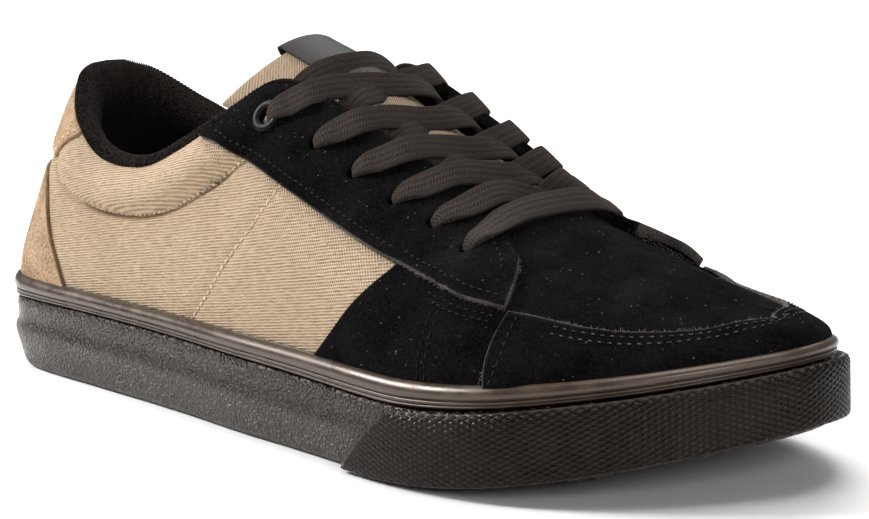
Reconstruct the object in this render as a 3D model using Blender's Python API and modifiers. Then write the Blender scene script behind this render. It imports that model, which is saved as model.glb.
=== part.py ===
"""Flat-pedal mountain bike shoe, right foot, standing empty on its sole.

Metres, +Z up. Design frame: X runs from the back of the sole (BACK) to the toe, the outer (lateral) side of
the foot is at -Y and the inner (medial) side at +Y. An empty moves the whole shoe so that the origin is under
the middle of its box, on the floor.

Places round the shoe are given by "around": 0 at the middle of the back, 1 at the toe end, along the lateral
side, and on to 2 at the back again, along the medial side. "turn" is the same measure on one side, 0 to 1.
"""

import math

import bmesh
import bpy
import numpy as np
from mathutils import Vector

# Driving sizes
LENGTH = 0.303
BACK = -0.003
GAP = 0.0004
OVERLAY_GAP = 0.0006
TOE_SPRING = 0.016
TOE_BREAK = 0.205
HEEL_BEVEL_RISE = 0.003
HEEL_BEVEL_LENGTH = 0.016
PLATE_THICKNESS = 0.011
CUP_WALL = 0.0034
UPPER_WALL = 0.0022
BUMPER_THICKNESS = 0.0016
INSOLE_THICKNESS = 0.005
INSOLE_ROUNDING = 0.001
TONGUE_THICKNESS = 0.005
TONGUE_ROUND = 2.2
LACE_WIDTH = 0.008
LACE_THICKNESS = 0.0014
LACE_CLEARANCE = 0.0009
LACE_LEAN = 0.004
LACE_TUCK = 0.0044
LACE_TUCKS = (0.522, 0.553, 0.582, 0.602, 0.628)
LACE_OVER_RING = 0.0012
LACE_OVER_EDGE = 0.0010
LACE_OVER_LABEL = 0.0027
CROSSING_OVER = 0.93
BAR_OVER = 0.5
LACE_STEPS = 3
INSTEP_NORMAL = Vector((0.46, 0, 1)).normalized()
FEATHER = 0.18

# Half widths of the sole's outline on each side of the heel's middle line
OUTLINE_COLUMNS = ("turn", "lateral", "medial")
OUTLINE = (
    (0.00, 0.0000, 0.0000),
    (0.05, 0.0155, 0.0150),
    (0.10, 0.0280, 0.0265),
    (0.15, 0.0338, 0.0322),
    (0.20, 0.0363, 0.0352),
    (0.30, 0.0393, 0.0376),
    (0.40, 0.0432, 0.0372),
    (0.50, 0.0495, 0.0400),
    (0.60, 0.0560, 0.0472),
    (0.66, 0.0568, 0.0502),
    (0.72, 0.0525, 0.0502),
    (0.80, 0.0370, 0.0438),
    (0.86, 0.0220, 0.0356),
    (0.92, 0.0070, 0.0250),
    (0.96, -0.0005, 0.0168),
    (1.00, -0.0080, 0.0080),
)

# Heights of the side wall of the cup and of the band above it, along the length
SIDE_COLUMNS = ("along", "lower", "band")
SIDE = (
    (-0.003, 0.0215, 0.0085),
    (0.012, 0.0225, 0.0075),
    (0.036, 0.0230, 0.0066),
    (0.150, 0.0220, 0.0068),
    (0.210, 0.0204, 0.0074),
    (0.255, 0.0197, 0.0062),
    (0.280, 0.0182, 0.0057),
    (0.300, 0.0166, 0.0052),
)

# Sections of the upper, back to toe: place of its top edge (collar, throat, then the ridge of the vamp), half
# gap there, and the shape of the wall's curve up to it
UPPER_COLUMNS = (
    "turn", "top_x", "half_gap", "top_z", "rise", "swell", "reach_lateral", "reach_medial", "pitch",
)
UPPER = (
    (0.00, 0.0220, 0.0000, 0.0925, 0.010, -0.0012, 0.018, 0.018, 58),
    (0.05, 0.0234, 0.0072, 0.0920, 0.010, -0.0012, 0.018, 0.018, 59),
    (0.10, 0.0273, 0.0140, 0.0893, 0.010, -0.0012, 0.018, 0.018, 61),
    (0.20, 0.0420, 0.0247, 0.0785, 0.013, 0.0004, 0.017, 0.017, 67),
    (0.32, 0.0680, 0.0298, 0.0695, 0.018, 0.0022, 0.015, 0.015, 74),
    (0.36, 0.0840, 0.0302, 0.0705, 0.018, 0.0020, 0.015, 0.015, 74),
    (0.40, 0.1010, 0.0303, 0.0770, 0.020, 0.0020, 0.018, 0.018, 72),
    (0.44, 0.1170, 0.0285, 0.0855, 0.024, 0.0020, 0.022, 0.022, 68),
    (0.48, 0.1340, 0.0225, 0.0955, 0.028, 0.0020, 0.028, 0.027, 60),
    (0.52, 0.1520, 0.0198, 0.0926, 0.028, 0.0018, 0.030, 0.028, 54),
    (0.56, 0.1720, 0.0184, 0.0837, 0.025, 0.0014, 0.030, 0.027, 46),
    (0.60, 0.1920, 0.0160, 0.0744, 0.021, 0.0010, 0.030, 0.024, 34),
    (0.63, 0.2060, 0.0110, 0.0678, 0.018, 0.0006, 0.031, 0.021, 22),
    (0.65, 0.2140, 0.0050, 0.0648, 0.016, 0.0005, 0.034, 0.020, 9),
    (0.66, 0.2170, 0.0000, 0.0634, 0.015, 0.0004, 0.037, 0.018, 0),
    (0.70, 0.2310, 0.0000, 0.0583, 0.013, 0.0002, 0.035, 0.013, 0),
    (0.75, 0.2450, 0.0000, 0.0536, 0.008, 0.0000, 0.032, 0.010, 0),
    (0.80, 0.2560, 0.0000, 0.0501, 0.006, 0.0000, 0.026, 0.008, 0),
    (0.86, 0.2665, 0.0000, 0.0463, 0.004, 0.0000, 0.018, 0.006, 0),
    (0.92, 0.2745, 0.0000, 0.0442, 0.0035, 0.0000, 0.012, 0.005, 0),
    (1.00, 0.2800, 0.0000, 0.0428, 0.003, 0.0000, 0.008, 0.005, 0),
)
RIDGE_START = 0.66

# Sideways place of the middle line of the throat and vamp, along the length
MIDDLE_COLUMNS = ("along", "aside")
MIDDLE = ((0.0, 0.0), (0.120, 0.0), (0.215, 0.004), (0.250, 0.007), (0.300, 0.008))

# Sections of the tongue, back to front: crest, half width, drop of its sides and how far they sweep back
TONGUE_COLUMNS = ("crest_x", "crest_z", "half_width", "drop", "sweep")
TONGUE = (
    (0.124, 0.1055, 0.0225, 0.0170, 0.018),
    (0.136, 0.1005, 0.0235, 0.0162, 0.013),
    (0.152, 0.0925, 0.0240, 0.0150, 0.006),
    (0.172, 0.0828, 0.0235, 0.0130, 0.004),
    (0.195, 0.0720, 0.0225, 0.0110, 0.002),
    (0.215, 0.0600, 0.0190, 0.0085, 0.001),
    (0.228, 0.0525, 0.0150, 0.0060, 0.000),
)

# Overlays of the upper: a row for each rib across the piece, from its lower edge by its middle to its upper
# edge. Columns: low around, low up, middle around, middle up, high around, high up
SOLE_EDGE = FEATHER + 0.03
EYESTAY = (
    (0.4270, 0.955, 0.4280, 0.973, 0.4290, 0.990),
    (0.4500, 0.860, 0.4500, 0.925, 0.4500, 0.990),
    (0.4740, 0.754, 0.4735, 0.872, 0.4730, 0.990),
    (0.5120, 0.691, 0.5100, 0.841, 0.5080, 0.990),
    (0.5580, 0.662, 0.5540, 0.826, 0.5500, 0.990),
    (0.6140, 0.630, 0.6070, 0.808, 0.6000, 0.985),
    (0.6500, 0.545, 0.6420, 0.740, 0.6340, 0.935),
    (0.6750, 0.522, 0.6690, 0.668, 0.6560, 0.830),
    (0.6960, 0.524, 0.6880, 0.664, 0.6720, 0.786),
    (0.7070, 0.530, 0.6980, 0.645, 0.6840, 0.745),
)
SIDE_PANEL = (
    (0.5480, SOLE_EDGE, 0.5920, 0.395, 0.6130, 0.612),
    (0.6000, SOLE_EDGE, 0.6300, 0.370, 0.6460, 0.536),
    (0.6550, SOLE_EDGE, 0.6740, 0.355, 0.6760, 0.506),
    (0.7060, SOLE_EDGE, 0.7120, 0.365, 0.7070, 0.514),
)

# Upper edges of the toe guard and the heel counter and lower edge of the heel tab. Columns: around, up
TOE_GUARD = (
    (0.714, 0.524), (0.753, 0.509), (0.801, 0.476), (0.841, 0.455), (0.884, 0.490), (0.938, 0.680),
    (1.000, 0.760), (1.062, 0.720), (1.105, 0.640), (1.150, 0.500), (1.199, 0.476), (1.247, 0.509),
    (1.286, 0.524),
)
COUNTER = (
    (-0.243, 0.300), (-0.226, 0.450), (-0.195, 0.560), (-0.160, 0.640), (-0.080, 0.664), (0.000, 0.668),
    (0.080, 0.664), (0.160, 0.640), (0.195, 0.560), (0.226, 0.450), (0.243, 0.300),
)
HEEL_TAB = (
    (-0.214, 0.950), (-0.190, 0.865), (-0.165, 0.780), (-0.130, 0.748), (0.000, 0.745),
    (0.130, 0.748), (0.165, 0.780), (0.190, 0.865), (0.214, 0.950),
)
HEEL_TAB_TOP = 0.985
GUARD_THICKNESS = 0.0014
EYESTAY_THICKNESS = 0.0016
PANEL_THICKNESS = 0.0019
COUNTER_THICKNESS = 0.0014

# Section of the collar pad. Columns: place up the wall, depth inside its outer face, rise above that place
COLLAR = (
    (0.640, 0.0027, 0.0000),
    (0.820, 0.0027, 0.0000),
    (0.985, 0.0027, 0.0000),
    (0.995, 0.0036, 0.0016),
    (0.995, 0.0058, 0.0026),
    (0.985, 0.0080, 0.0012),
    (0.930, 0.0092, 0.0000),
    (0.800, 0.0088, 0.0000),
    (0.640, 0.0042, 0.0000),
)
COLLAR_END = 0.425

# Eyelets of one side, top to bottom, on the upper's face. Columns: around, up
EYELETS = ((0.487, 0.883), (0.528, 0.862), (0.559, 0.852), (0.590, 0.841), (0.618, 0.820), (0.650, 0.733))
EYELET_HOLE_RADIUS = 0.0021
DRILL_DEPTH = 0.012
GROMMET_RADIUS = 0.0034
GROMMET_WIRE = 0.0011
GROMMET_FLATTEN = 0.6
LABEL_THICKNESS = 0.0008
LABEL_START = 0.125
LABEL_LENGTH = 0.022
LABEL_ACROSS = (-0.30, 0.66)

# Walls of the sole. Columns: share of the height, inset from the wall line
OUTSOLE_WALL = ((0.0, 0.0030), (0.05, 0.0016), (0.30, 0.0004), (0.55, 0.0), (0.80, 0.0005), (1.0, 0.0012))
BAND_WALL = (
    (0.00, 0.0016), (0.18, 0.0010), (0.22, 0.0015), (0.26, 0.0010),
    (0.51, 0.0010), (0.55, 0.0015), (0.59, 0.0009), (1.00, 0.0016),
)
BUMPER_WALL = ((0.07, 0.0006), (0.14, 0.0), (0.88, 0.0), (0.97, 0.0006))
BUMPER_STEP = (0.46, 0.58)
BUMPER_EDGE_LOW = 0.587
BUMPER_EDGE_RUN = 0.053
BUMPER_EDGE_BOW = 0.25

# Places of the sections round the shoe. Columns: from turn, to turn, sections between them
SECTIONS = ((0.0, 0.20, 7), (0.20, 0.60, 10), (0.60, 0.72, 5), (0.72, 1.0, 10))
WALL_STEPS = 7
STEP_AROUND = 0.004
STEP_UP = 0.01
TONGUE_STEP = 0.001


def smooth(xs, ys, at):
    """Smooth curve through points, with slopes from their neighbours. ys may hold several values a point."""
    at = min(max(at, xs[0]), xs[-1])
    steps = np.diff(ys, axis=0) / np.diff(xs).reshape(-1, *[1] * (ys.ndim - 1))
    slopes = np.concatenate([steps[:1], (steps[:-1] + steps[1:]) / 2, steps[-1:]])
    i = min(int(np.searchsorted(xs, at, side="right")) - 1, len(xs) - 2)
    width = xs[i + 1] - xs[i]
    s = (at - xs[i]) / width
    return (
        ys[i] * (1 + 2 * s) * (1 - s) ** 2
        + ys[i + 1] * s * s * (3 - 2 * s)
        + width * (slopes[i] * s * (1 - s) ** 2 + slopes[i + 1] * s * s * (s - 1))
    )


def through(table, columns, key, name, at):
    """Smooth curve through one column of a table."""
    xs = np.array([row[columns.index(key)] for row in table])
    ys = np.array([row[columns.index(name)] for row in table])
    return float(smooth(xs, ys, at))


def ease(low, high, at):
    s = min(max((at - low) / (high - low), 0), 1)
    return s * s * (3 - 2 * s)


def side_and_turn(around):
    """-1 and the turn on the lateral side, 1 and the turn on the medial one."""
    around = around % 2
    return (-1, around) if around <= 1 else (1, 2 - around)


# Sole

def outline(around):
    side, turn = side_and_turn(around)
    name = "lateral" if side < 0 else "medial"
    x = BACK + LENGTH * (1 - math.cos(math.pi * turn)) / 2
    return Vector((x, side * through(OUTLINE, OUTLINE_COLUMNS, "turn", name, turn), 0))


def outward(around):
    step = outline(around + STEP_AROUND) - outline(around - STEP_AROUND)
    return Vector((step.y, -step.x, 0)).normalized()


def bumper_step(around):
    """How far the wall stands back to make room for the toe bumper."""
    return (BUMPER_THICKNESS + OVERLAY_GAP) * ease(*BUMPER_STEP, side_and_turn(around)[1])


def ring(around, inset):
    """A point of the sole's side, that far in from the wall line."""
    return outline(around) - outward(around) * (inset + bumper_step(around))


def ground(x):
    heel = HEEL_BEVEL_RISE * max(1 - (x - BACK) / HEEL_BEVEL_LENGTH, 0) ** 2
    toe = TOE_SPRING * max((x - TOE_BREAK) / (BACK + LENGTH - TOE_BREAK), 0) ** 1.8
    return heel + toe


def groove_height(x):
    return ground(x) + through(SIDE, SIDE_COLUMNS, "along", "lower", x)


def band_top(x):
    return groove_height(x) + through(SIDE, SIDE_COLUMNS, "along", "band", x)


def plate_top(x):
    return ground(x) + PLATE_THICKNESS


def at_height(point, z):
    return Vector((point.x, point.y, z))


# Upper

def middle(x):
    return through(MIDDLE, MIDDLE_COLUMNS, "along", "aside", x)


def upper_value(name, turn):
    return through(UPPER, UPPER_COLUMNS, "turn", name, turn)


def top_edge(around):
    side, turn = side_and_turn(around)
    x = upper_value("top_x", turn)
    gap = 0 if turn >= RIDGE_START else upper_value("half_gap", turn)
    return Vector((x, middle(x) + side * gap, upper_value("top_z", turn)))


def wall_curve(around):
    """The four control points of the wall's curve, from the top of the sole to the top edge."""
    side, turn = side_and_turn(around)
    foot = ring(around, CUP_WALL + GAP)
    foot = at_height(foot, band_top(foot.x))
    top = top_edge(around)
    out = outward(around)
    across = foot - top
    across.z = 0
    blend = ease(0.60, 0.70, turn)
    away = (out * (1 - blend) + across.normalized() * blend).normalized()
    near = max(turn - STEP_UP, RIDGE_START)
    run = upper_value("top_x", near + STEP_UP) - upper_value("top_x", near)
    fall = upper_value("top_z", near + STEP_UP) - upper_value("top_z", near)
    slope = fall / max(run, 1e-6) * blend
    pitch = math.radians(max(upper_value("pitch", turn), 0))
    reach = upper_value("reach_lateral" if side < 0 else "reach_medial", turn)
    lower = foot + Vector((0, 0, upper_value("rise", turn))) + out * upper_value("swell", turn)
    upper = top + reach * (away * math.cos(pitch) - Vector((0, 0, math.sin(pitch) - away.x * slope)))
    return foot, lower, upper, top


def upper_point(around, up, curve=None):
    """A point of the upper's outer face: up is 0 at its lower edge, FEATHER at the sole, 1 at the top."""
    foot, lower, upper, top = curve or wall_curve(around)
    if up < FEATHER:
        base = plate_top(foot.x) + GAP
        return at_height(foot, base + (foot.z - base) * up / FEATHER)
    s = (up - FEATHER) / (1 - FEATHER)
    return foot * (1 - s) ** 3 + lower * 3 * s * (1 - s) ** 2 + upper * 3 * s * s * (1 - s) + top * s**3


def upper_normal(around, up):
    below = max(up - STEP_UP, 0)
    above = min(up + STEP_UP, 1)
    along = upper_point(around + STEP_AROUND, up) - upper_point(around - STEP_AROUND, up)
    rising = upper_point(around, above) - upper_point(around, below)
    return along.cross(rising).normalized()


def upper_offset(around, up, distance):
    return upper_point(around, up) + upper_normal(around, up) * distance


# Building meshes

def start_scene():
    for obj in list(bpy.data.objects):
        bpy.data.objects.remove(obj, do_unlink=True)
    parts = bpy.data.collections.new("mountain_bike_shoe")
    bpy.context.scene.collection.children.link(parts)
    frame = bpy.data.objects.new("shoe_frame", None)
    parts.objects.link(frame)
    places = [outline(k / 200) for k in range(401)]
    low = min(p.y for p in places)
    high = max(p.y for p in places)
    frame.location = (-BACK - LENGTH / 2, -(low + high) / 2, 0)
    return parts, frame


PARTS, FRAME = start_scene()


def material(name, colour, roughness, metallic=0.0):
    made = bpy.data.materials.new(name)
    made.use_nodes = True
    shader = made.node_tree.nodes["Principled BSDF"]
    shader.inputs["Base Color"].default_value = (*colour, 1)
    shader.inputs["Roughness"].default_value = roughness
    shader.inputs["Metallic"].default_value = metallic
    made.diffuse_color = (*colour, 1)
    return made


def loft(name, rows, finish, closed_rows=False, closed_ring=False, solid=False):
    """An object with faces between rows of points. closed_rows joins the last row to the first, closed_ring
    the ends of each row, and a solid has its open ends filled and its faces turned out."""
    mesh = bpy.data.meshes.new(name)
    bm = bmesh.new()
    grid = [[bm.verts.new(point) for point in row] for row in rows]
    row_count = len(grid) if closed_rows else len(grid) - 1
    point_count = len(grid[0]) if closed_ring else len(grid[0]) - 1
    for i in range(row_count):
        here, after = grid[i], grid[(i + 1) % len(grid)]
        for j in range(point_count):
            k = (j + 1) % len(here)
            bm.faces.new((here[j], after[j], after[k], here[k]))
    if solid and not closed_rows:
        bm.faces.new(grid[0])
        bm.faces.new(grid[-1])
    bmesh.ops.remove_doubles(bm, verts=bm.verts, dist=1e-6)
    if solid:
        bmesh.ops.recalc_face_normals(bm, faces=bm.faces)
    bm.to_mesh(mesh)
    bm.free()
    mesh.shade_smooth()
    mesh.set_sharp_from_angle(angle=math.radians(40))
    mesh.materials.append(finish)
    obj = bpy.data.objects.new(name, mesh)
    PARTS.objects.link(obj)
    obj.parent = FRAME
    return obj


def thicken(obj, thickness, offset):
    shell = obj.modifiers.new("wall", "SOLIDIFY")
    shell.thickness = thickness
    shell.offset = offset
    shell.use_even_offset = True
    shell.use_quality_normals = True


def spread(low, high, count):
    return [low + (high - low) * k / count for k in range(count + 1)]


def section_places():
    """Places of the sections round the shoe, from the back by the lateral side to the toe and on round."""
    turns = [turn for low, high, count in SECTIONS for turn in spread(low, high, count)[:-1]] + [1.0]
    return turns + [2 - turn for turn in turns[-2:0:-1]]


AROUND = section_places()


def sole_ring(inset, height):
    """A closed row of points round the sole, at a height that depends on the place along it."""
    return [at_height(p, height(p.x)) for p in (ring(a, inset) for a in AROUND)]


def across_rows(points):
    """The strips that close a ring from side to side: each row joins a lateral point to its medial one."""
    half = len(points) // 2
    return [(points[k], points[-k % len(points)]) for k in range(half + 1)]


def closed_stack(name, rings, finish):
    """A solid from closed rings, the first and the last of them filled from side to side."""
    obj = loft(name, rings, finish, closed_ring=True)
    bm = bmesh.new()
    bm.from_mesh(obj.data)
    for points in (rings[0], rings[-1]):
        rows = [[bm.verts.new(p) for p in pair] for pair in across_rows(points)]
        for before, after in zip(rows, rows[1:]):
            bm.faces.new((before[0], before[1], after[1], after[0]))
    bmesh.ops.remove_doubles(bm, verts=bm.verts, dist=1e-6)
    bmesh.ops.dissolve_degenerate(bm, dist=1e-6, edges=bm.edges)
    bmesh.ops.recalc_face_normals(bm, faces=bm.faces)
    bm.to_mesh(obj.data)
    bm.free()
    return obj


# Pieces

def make_outsole():
    rubber = material("outsole_rubber", (0.022, 0.019, 0.018), 0.62)

    def between(fraction):
        return lambda x: ground(x) + (groove_height(x) - ground(x)) * fraction

    rings = [sole_ring(inset, between(fraction)) for fraction, inset in OUTSOLE_WALL]
    rings.append(sole_ring(CUP_WALL, groove_height))
    rings.append(sole_ring(CUP_WALL, plate_top))
    return closed_stack("outsole", rings, rubber)


def make_foxing_band():
    rubber = material("band_rubber", (0.020, 0.017, 0.016), 0.42)

    def between(fraction):
        return lambda x: groove_height(x) + GAP + (band_top(x) - GAP - groove_height(x)) * fraction

    rings = [sole_ring(inset, between(fraction)) for fraction, inset in BAND_WALL]
    rings.append(sole_ring(CUP_WALL, between(1.0)))
    rings.append(sole_ring(CUP_WALL, between(0.0)))
    return loft("foxing_band", rings, rubber, closed_rows=True, closed_ring=True, solid=True)


def make_insole():
    cloth = material("insole_cloth", (0.03, 0.03, 0.03), 0.9)
    inset = CUP_WALL + UPPER_WALL + 3 * GAP
    rings = [
        sole_ring(inset, lambda x: plate_top(x) + GAP),
        sole_ring(inset, lambda x: plate_top(x) + INSOLE_THICKNESS - INSOLE_ROUNDING),
        sole_ring(inset + INSOLE_ROUNDING, lambda x: plate_top(x) + INSOLE_THICKNESS),
    ]
    return closed_stack("insole", rings, cloth)


def make_upper():
    cloth = material("quarter_cloth", (0.42, 0.32, 0.20), 0.85)
    rows = []
    for around in AROUND:
        curve = wall_curve(around)
        rows.append([upper_point(around, up, curve) for up in [0.0] + spread(FEATHER, 1, WALL_STEPS)])
    obj = loft("upper", rows, cloth, closed_rows=True)
    thicken(obj, UPPER_WALL, -1)
    return obj


def tongue_value(name, x):
    return through(TONGUE, TONGUE_COLUMNS, "crest_x", name, x)


def tongue_point(x, across, lift=0.0):
    """A point of the tongue's outer face, across from -1 at its lateral edge to 1, raised by lift."""
    drop = tongue_value("drop", x)
    z = tongue_value("crest_z", x) - drop * abs(across) ** TONGUE_ROUND + lift
    y = middle(x) + tongue_value("half_width", x) * across
    return Vector((x - tongue_value("sweep", x) * across * across, y, z))


def make_tongue():
    cloth = material("tongue_cloth", (0.42, 0.32, 0.20), 0.85)
    places = spread(TONGUE[0][0], TONGUE[-1][0], 10)
    rows = [[tongue_point(x, w) for w in spread(-1, 1, 10)] for x in places]
    thicken(loft("tongue", rows, cloth), TONGUE_THICKNESS, -1)


def make_tongue_label():
    cloth = material("label_cloth", (0.02, 0.02, 0.02), 0.7)
    places = spread(LABEL_START, LABEL_START + LABEL_LENGTH, 3)
    rows = [[tongue_point(x, w, GAP) for w in spread(*LABEL_ACROSS, 5)] for x in places]
    thicken(loft("tongue_label", rows, cloth), LABEL_THICKNESS, 1)


def rib_places(row, count):
    """Places along a rib, on the curve through its low, middle and high ends."""
    low, mid, high = np.array(row).reshape(3, 2)
    return [
        low * (1 - s) * (1 - 2 * s) + mid * 4 * s * (1 - s) + high * s * (2 * s - 1)
        for s in spread(0, 1, count)
    ]


def make_overlay(name, ribs, finish, thickness, up, medial=False):
    """A panel on the outer face of the upper, from ribs across it."""
    rows = []
    for rib in ribs:
        places = rib_places(rib, up)
        rows.append([upper_offset(2 - a if medial else a, u, OVERLAY_GAP) for a, u in places])
    if medial:
        rows.reverse()
    obj = loft(name, rows, finish)
    thicken(obj, thickness, 1)
    return obj


def between_ribs(ribs, count):
    """More ribs, with a smooth edge through the ends of the given ones."""
    ribs = np.array(ribs)
    return [smooth(np.arange(len(ribs)), ribs, at) for at in spread(0, len(ribs) - 1, count)]


def upright_ribs(edge, other, count):
    """Upright ribs at even steps round the shoe, between a curved edge and one at a fixed height."""
    arounds, ups = np.array(edge).T
    ribs = []
    for around in spread(arounds[0], arounds[-1], count):
        low, high = sorted((float(smooth(arounds, ups, around)), other))
        ribs.append((around, low, around, (low + high) / 2, around, high))
    return ribs


def make_overlays():
    suede = material("black_suede", (0.010, 0.010, 0.011), 0.95)
    tan_suede = material("tan_suede", (0.36, 0.25, 0.14), 0.95)
    eyestay = between_ribs(EYESTAY, 19)
    side_panel = between_ribs(SIDE_PANEL, 9)
    for side in ("lateral", "medial"):
        medial = side == "medial"
        cut(make_overlay("eyestay_" + side, eyestay, suede, EYESTAY_THICKNESS, 5, medial))
        make_overlay("side_panel_" + side, side_panel, suede, PANEL_THICKNESS, 5, medial)
    make_overlay("toe_guard", upright_ribs(TOE_GUARD, SOLE_EDGE, 26), suede, GUARD_THICKNESS, 3)
    make_overlay("heel_counter", upright_ribs(COUNTER, SOLE_EDGE, 20), tan_suede, COUNTER_THICKNESS, 4)
    make_overlay("heel_tab", upright_ribs(HEEL_TAB, HEEL_TAB_TOP, 20), tan_suede, COUNTER_THICKNESS, 3)


def make_collar_pad():
    mesh_cloth = material("collar_mesh", (0.012, 0.012, 0.012), 0.9)
    rows = []
    for around in spread(-COLLAR_END, COLLAR_END, 30):
        row = []
        for up, depth, rise in COLLAR:
            point = upper_offset(around, up, -depth)
            row.append(Vector((point.x, point.y, point.z + rise)))
        rows.append(row)
    loft("collar_pad", rows, mesh_cloth, closed_ring=True, solid=True)


def bumper_edge(fraction):
    """Turn at which the bumper's rear edge lies, an S from the floor (0) to the top of the wall (1)."""
    bowed = (1 - BUMPER_EDGE_BOW) * fraction + BUMPER_EDGE_BOW * fraction**3
    return BUMPER_EDGE_LOW + BUMPER_EDGE_RUN * bowed


def bumper_point(fraction, inset, s):
    """A point of the bumper, that share of the wall's height up and of the way round the toe."""
    edge = bumper_edge(fraction)
    around = edge + (2 - 2 * edge) * s
    place = outline(around) - outward(around) * inset
    low = ground(place.x)
    return at_height(place, low + (groove_height(place.x) - low) * fraction)


def make_toe_bumper():
    rubber = material("bumper_rubber", (0.024, 0.021, 0.020), 0.55)
    inner = [(fraction, BUMPER_THICKNESS) for fraction, _ in BUMPER_WALL[::-3]]
    rows = []
    for s in spread(0, 1, 40):
        rows.append([bumper_point(fraction, inset, s) for fraction, inset in [*BUMPER_WALL, *inner]])
    loft("toe_bumper", rows, rubber, closed_ring=True, solid=True)


def eyelet_places():
    return [(2 - a if medial else a, up) for medial in (False, True) for a, up in EYELETS]


def make_hole_cutter():
    """One drill for every eyelet, along the upper's normal there."""
    bm = bmesh.new()
    for around, up in eyelet_places():
        normal = upper_normal(around, up)
        turn = Vector((0, 0, 1)).rotation_difference(normal).to_matrix().to_4x4()
        turn.translation = upper_point(around, up)
        bmesh.ops.create_cone(
            bm, cap_ends=True, segments=8, radius1=EYELET_HOLE_RADIUS, radius2=EYELET_HOLE_RADIUS,
            depth=DRILL_DEPTH, matrix=turn,
        )
    mesh = bpy.data.meshes.new("eyelet_drill")
    bm.to_mesh(mesh)
    bm.free()
    cutter = bpy.data.objects.new("eyelet_drill", mesh)
    CUTTERS.objects.link(cutter)
    cutter.parent = FRAME
    cutter.hide_render = True
    cutter.display_type = "WIRE"
    return cutter


def cut(obj):
    hole = obj.modifiers.new("eyelets", "BOOLEAN")
    hole.operation = "DIFFERENCE"
    hole.object = DRILL


def make_eyelets():
    """The ring of the top eyelet on each side."""
    metal = material("eyelet_metal", (0.02, 0.02, 0.02), 0.3, 0.6)
    around, up = EYELETS[0]
    seat = OVERLAY_GAP + EYESTAY_THICKNESS + GAP + GROMMET_WIRE * GROMMET_FLATTEN
    for name, place in (("eyelet_lateral", around), ("eyelet_medial", 2 - around)):
        bpy.ops.mesh.primitive_torus_add(
            major_segments=14, minor_segments=5, major_radius=GROMMET_RADIUS, minor_radius=GROMMET_WIRE
        )
        ring_object = bpy.context.object
        ring_object.name = name
        ring_object.data.name = name
        for vertex in ring_object.data.vertices:
            vertex.co.z *= GROMMET_FLATTEN
        ring_object.data.materials.append(metal)
        ring_object.data.shade_smooth()
        for holder in list(ring_object.users_collection):
            holder.objects.unlink(ring_object)
        PARTS.objects.link(ring_object)
        ring_object.parent = FRAME
        ring_object.location = upper_offset(place, up, seat)
        turned = Vector((0, 0, 1)).rotation_difference(upper_normal(place, up))
        ring_object.rotation_euler = turned.to_euler()


def on_face(around, up, lift):
    """A place above the upper's face, with the normal there."""
    return (*upper_offset(around, up, lift), *upper_normal(around, up))


def on_eyelet(place, over):
    """The two places of a strand out of an eyelet and across the eyestay, over that share of the way."""
    around, up = place
    toward = around + (-LACE_LEAN if around > 1 else LACE_LEAN)
    lift = OVERLAY_GAP + EYESTAY_THICKNESS + LACE_CLEARANCE + LACE_THICKNESS / 2
    ring_rise = LACE_OVER_RING if up == EYELETS[0][1] else 0
    edge_up = up + (1 - up) * over
    return [on_face(around, up, lift + ring_rise), on_face(toward, edge_up, lift + LACE_OVER_EDGE)]


def tongue_top(x, y):
    """Height of the tongue at a place, or above its label."""
    across = (y - middle(x)) / tongue_value("half_width", x)
    back = x + tongue_value("sweep", x) * across * across
    label = LACE_OVER_LABEL if x - LACE_WIDTH / 2 < LABEL_START + LABEL_LENGTH else 0
    return tongue_value("crest_z", back) - tongue_value("drop", back) * abs(across) ** TONGUE_ROUND + label


def over_throat(x, y, low):
    """A place of a strand above the tongue, and no lower than that height."""
    top = tongue_top(x, y)
    facing = INSTEP_NORMAL
    if top > low:
        aside = tongue_top(x, y + TONGUE_STEP) - tongue_top(x, y - TONGUE_STEP)
        along = tongue_top(x + TONGUE_STEP, y) - tongue_top(x - TONGUE_STEP, y)
        facing = Vector((-along, -aside, 2 * TONGUE_STEP)).normalized()
    return (x, y, max(top, low) + LACE_CLEARANCE + LACE_THICKNESS / 2, *facing)


def in_throat(around, crest):
    """A strand's way from its crest down to its end under the edge of the throat."""
    edge = top_edge(around)
    aside = LACE_TUCK if edge.y < middle(edge.x) else -LACE_TUCK
    end = over_throat(edge.x, edge.y + aside, edge.z - LACE_THICKNESS - LACE_CLEARANCE)
    x, y, z = (np.array(crest[:3]) + np.array(end[:3])) / 2
    return [over_throat(x, y, z - LACE_THICKNESS / 2 - LACE_CLEARANCE), end]


def at_crest(start, back_x):
    x = (start[0] + back_x) / 2
    return over_throat(x, middle(x), through(UPPER, UPPER_COLUMNS, "top_x", "top_z", x))


def along_strand(line):
    """Smooth middle line of a strand with its normals, through those places."""
    line = np.array(line)
    last = len(line) - 1
    places = [smooth(np.arange(last + 1.0), line, s) for s in spread(0, last, LACE_STEPS * last)]
    return [(Vector(place[:3]), Vector(place[3:])) for place in places]


def crossing_path(start, tuck):
    """A strand from an eyelet over the tongue to its end inside the opposite edge."""
    out = on_eyelet(start, CROSSING_OVER)
    crest = at_crest(out[1], top_edge(tuck).x)
    return along_strand([*out, crest, *in_throat(tuck, crest)])


def bar_path(start, end):
    """A strand straight across between two eyelets."""
    out = on_eyelet(start, BAR_OVER)
    back = on_eyelet(end, BAR_OVER)[::-1]
    return along_strand([*out, at_crest(out[1], back[0][0]), *back])


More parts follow.
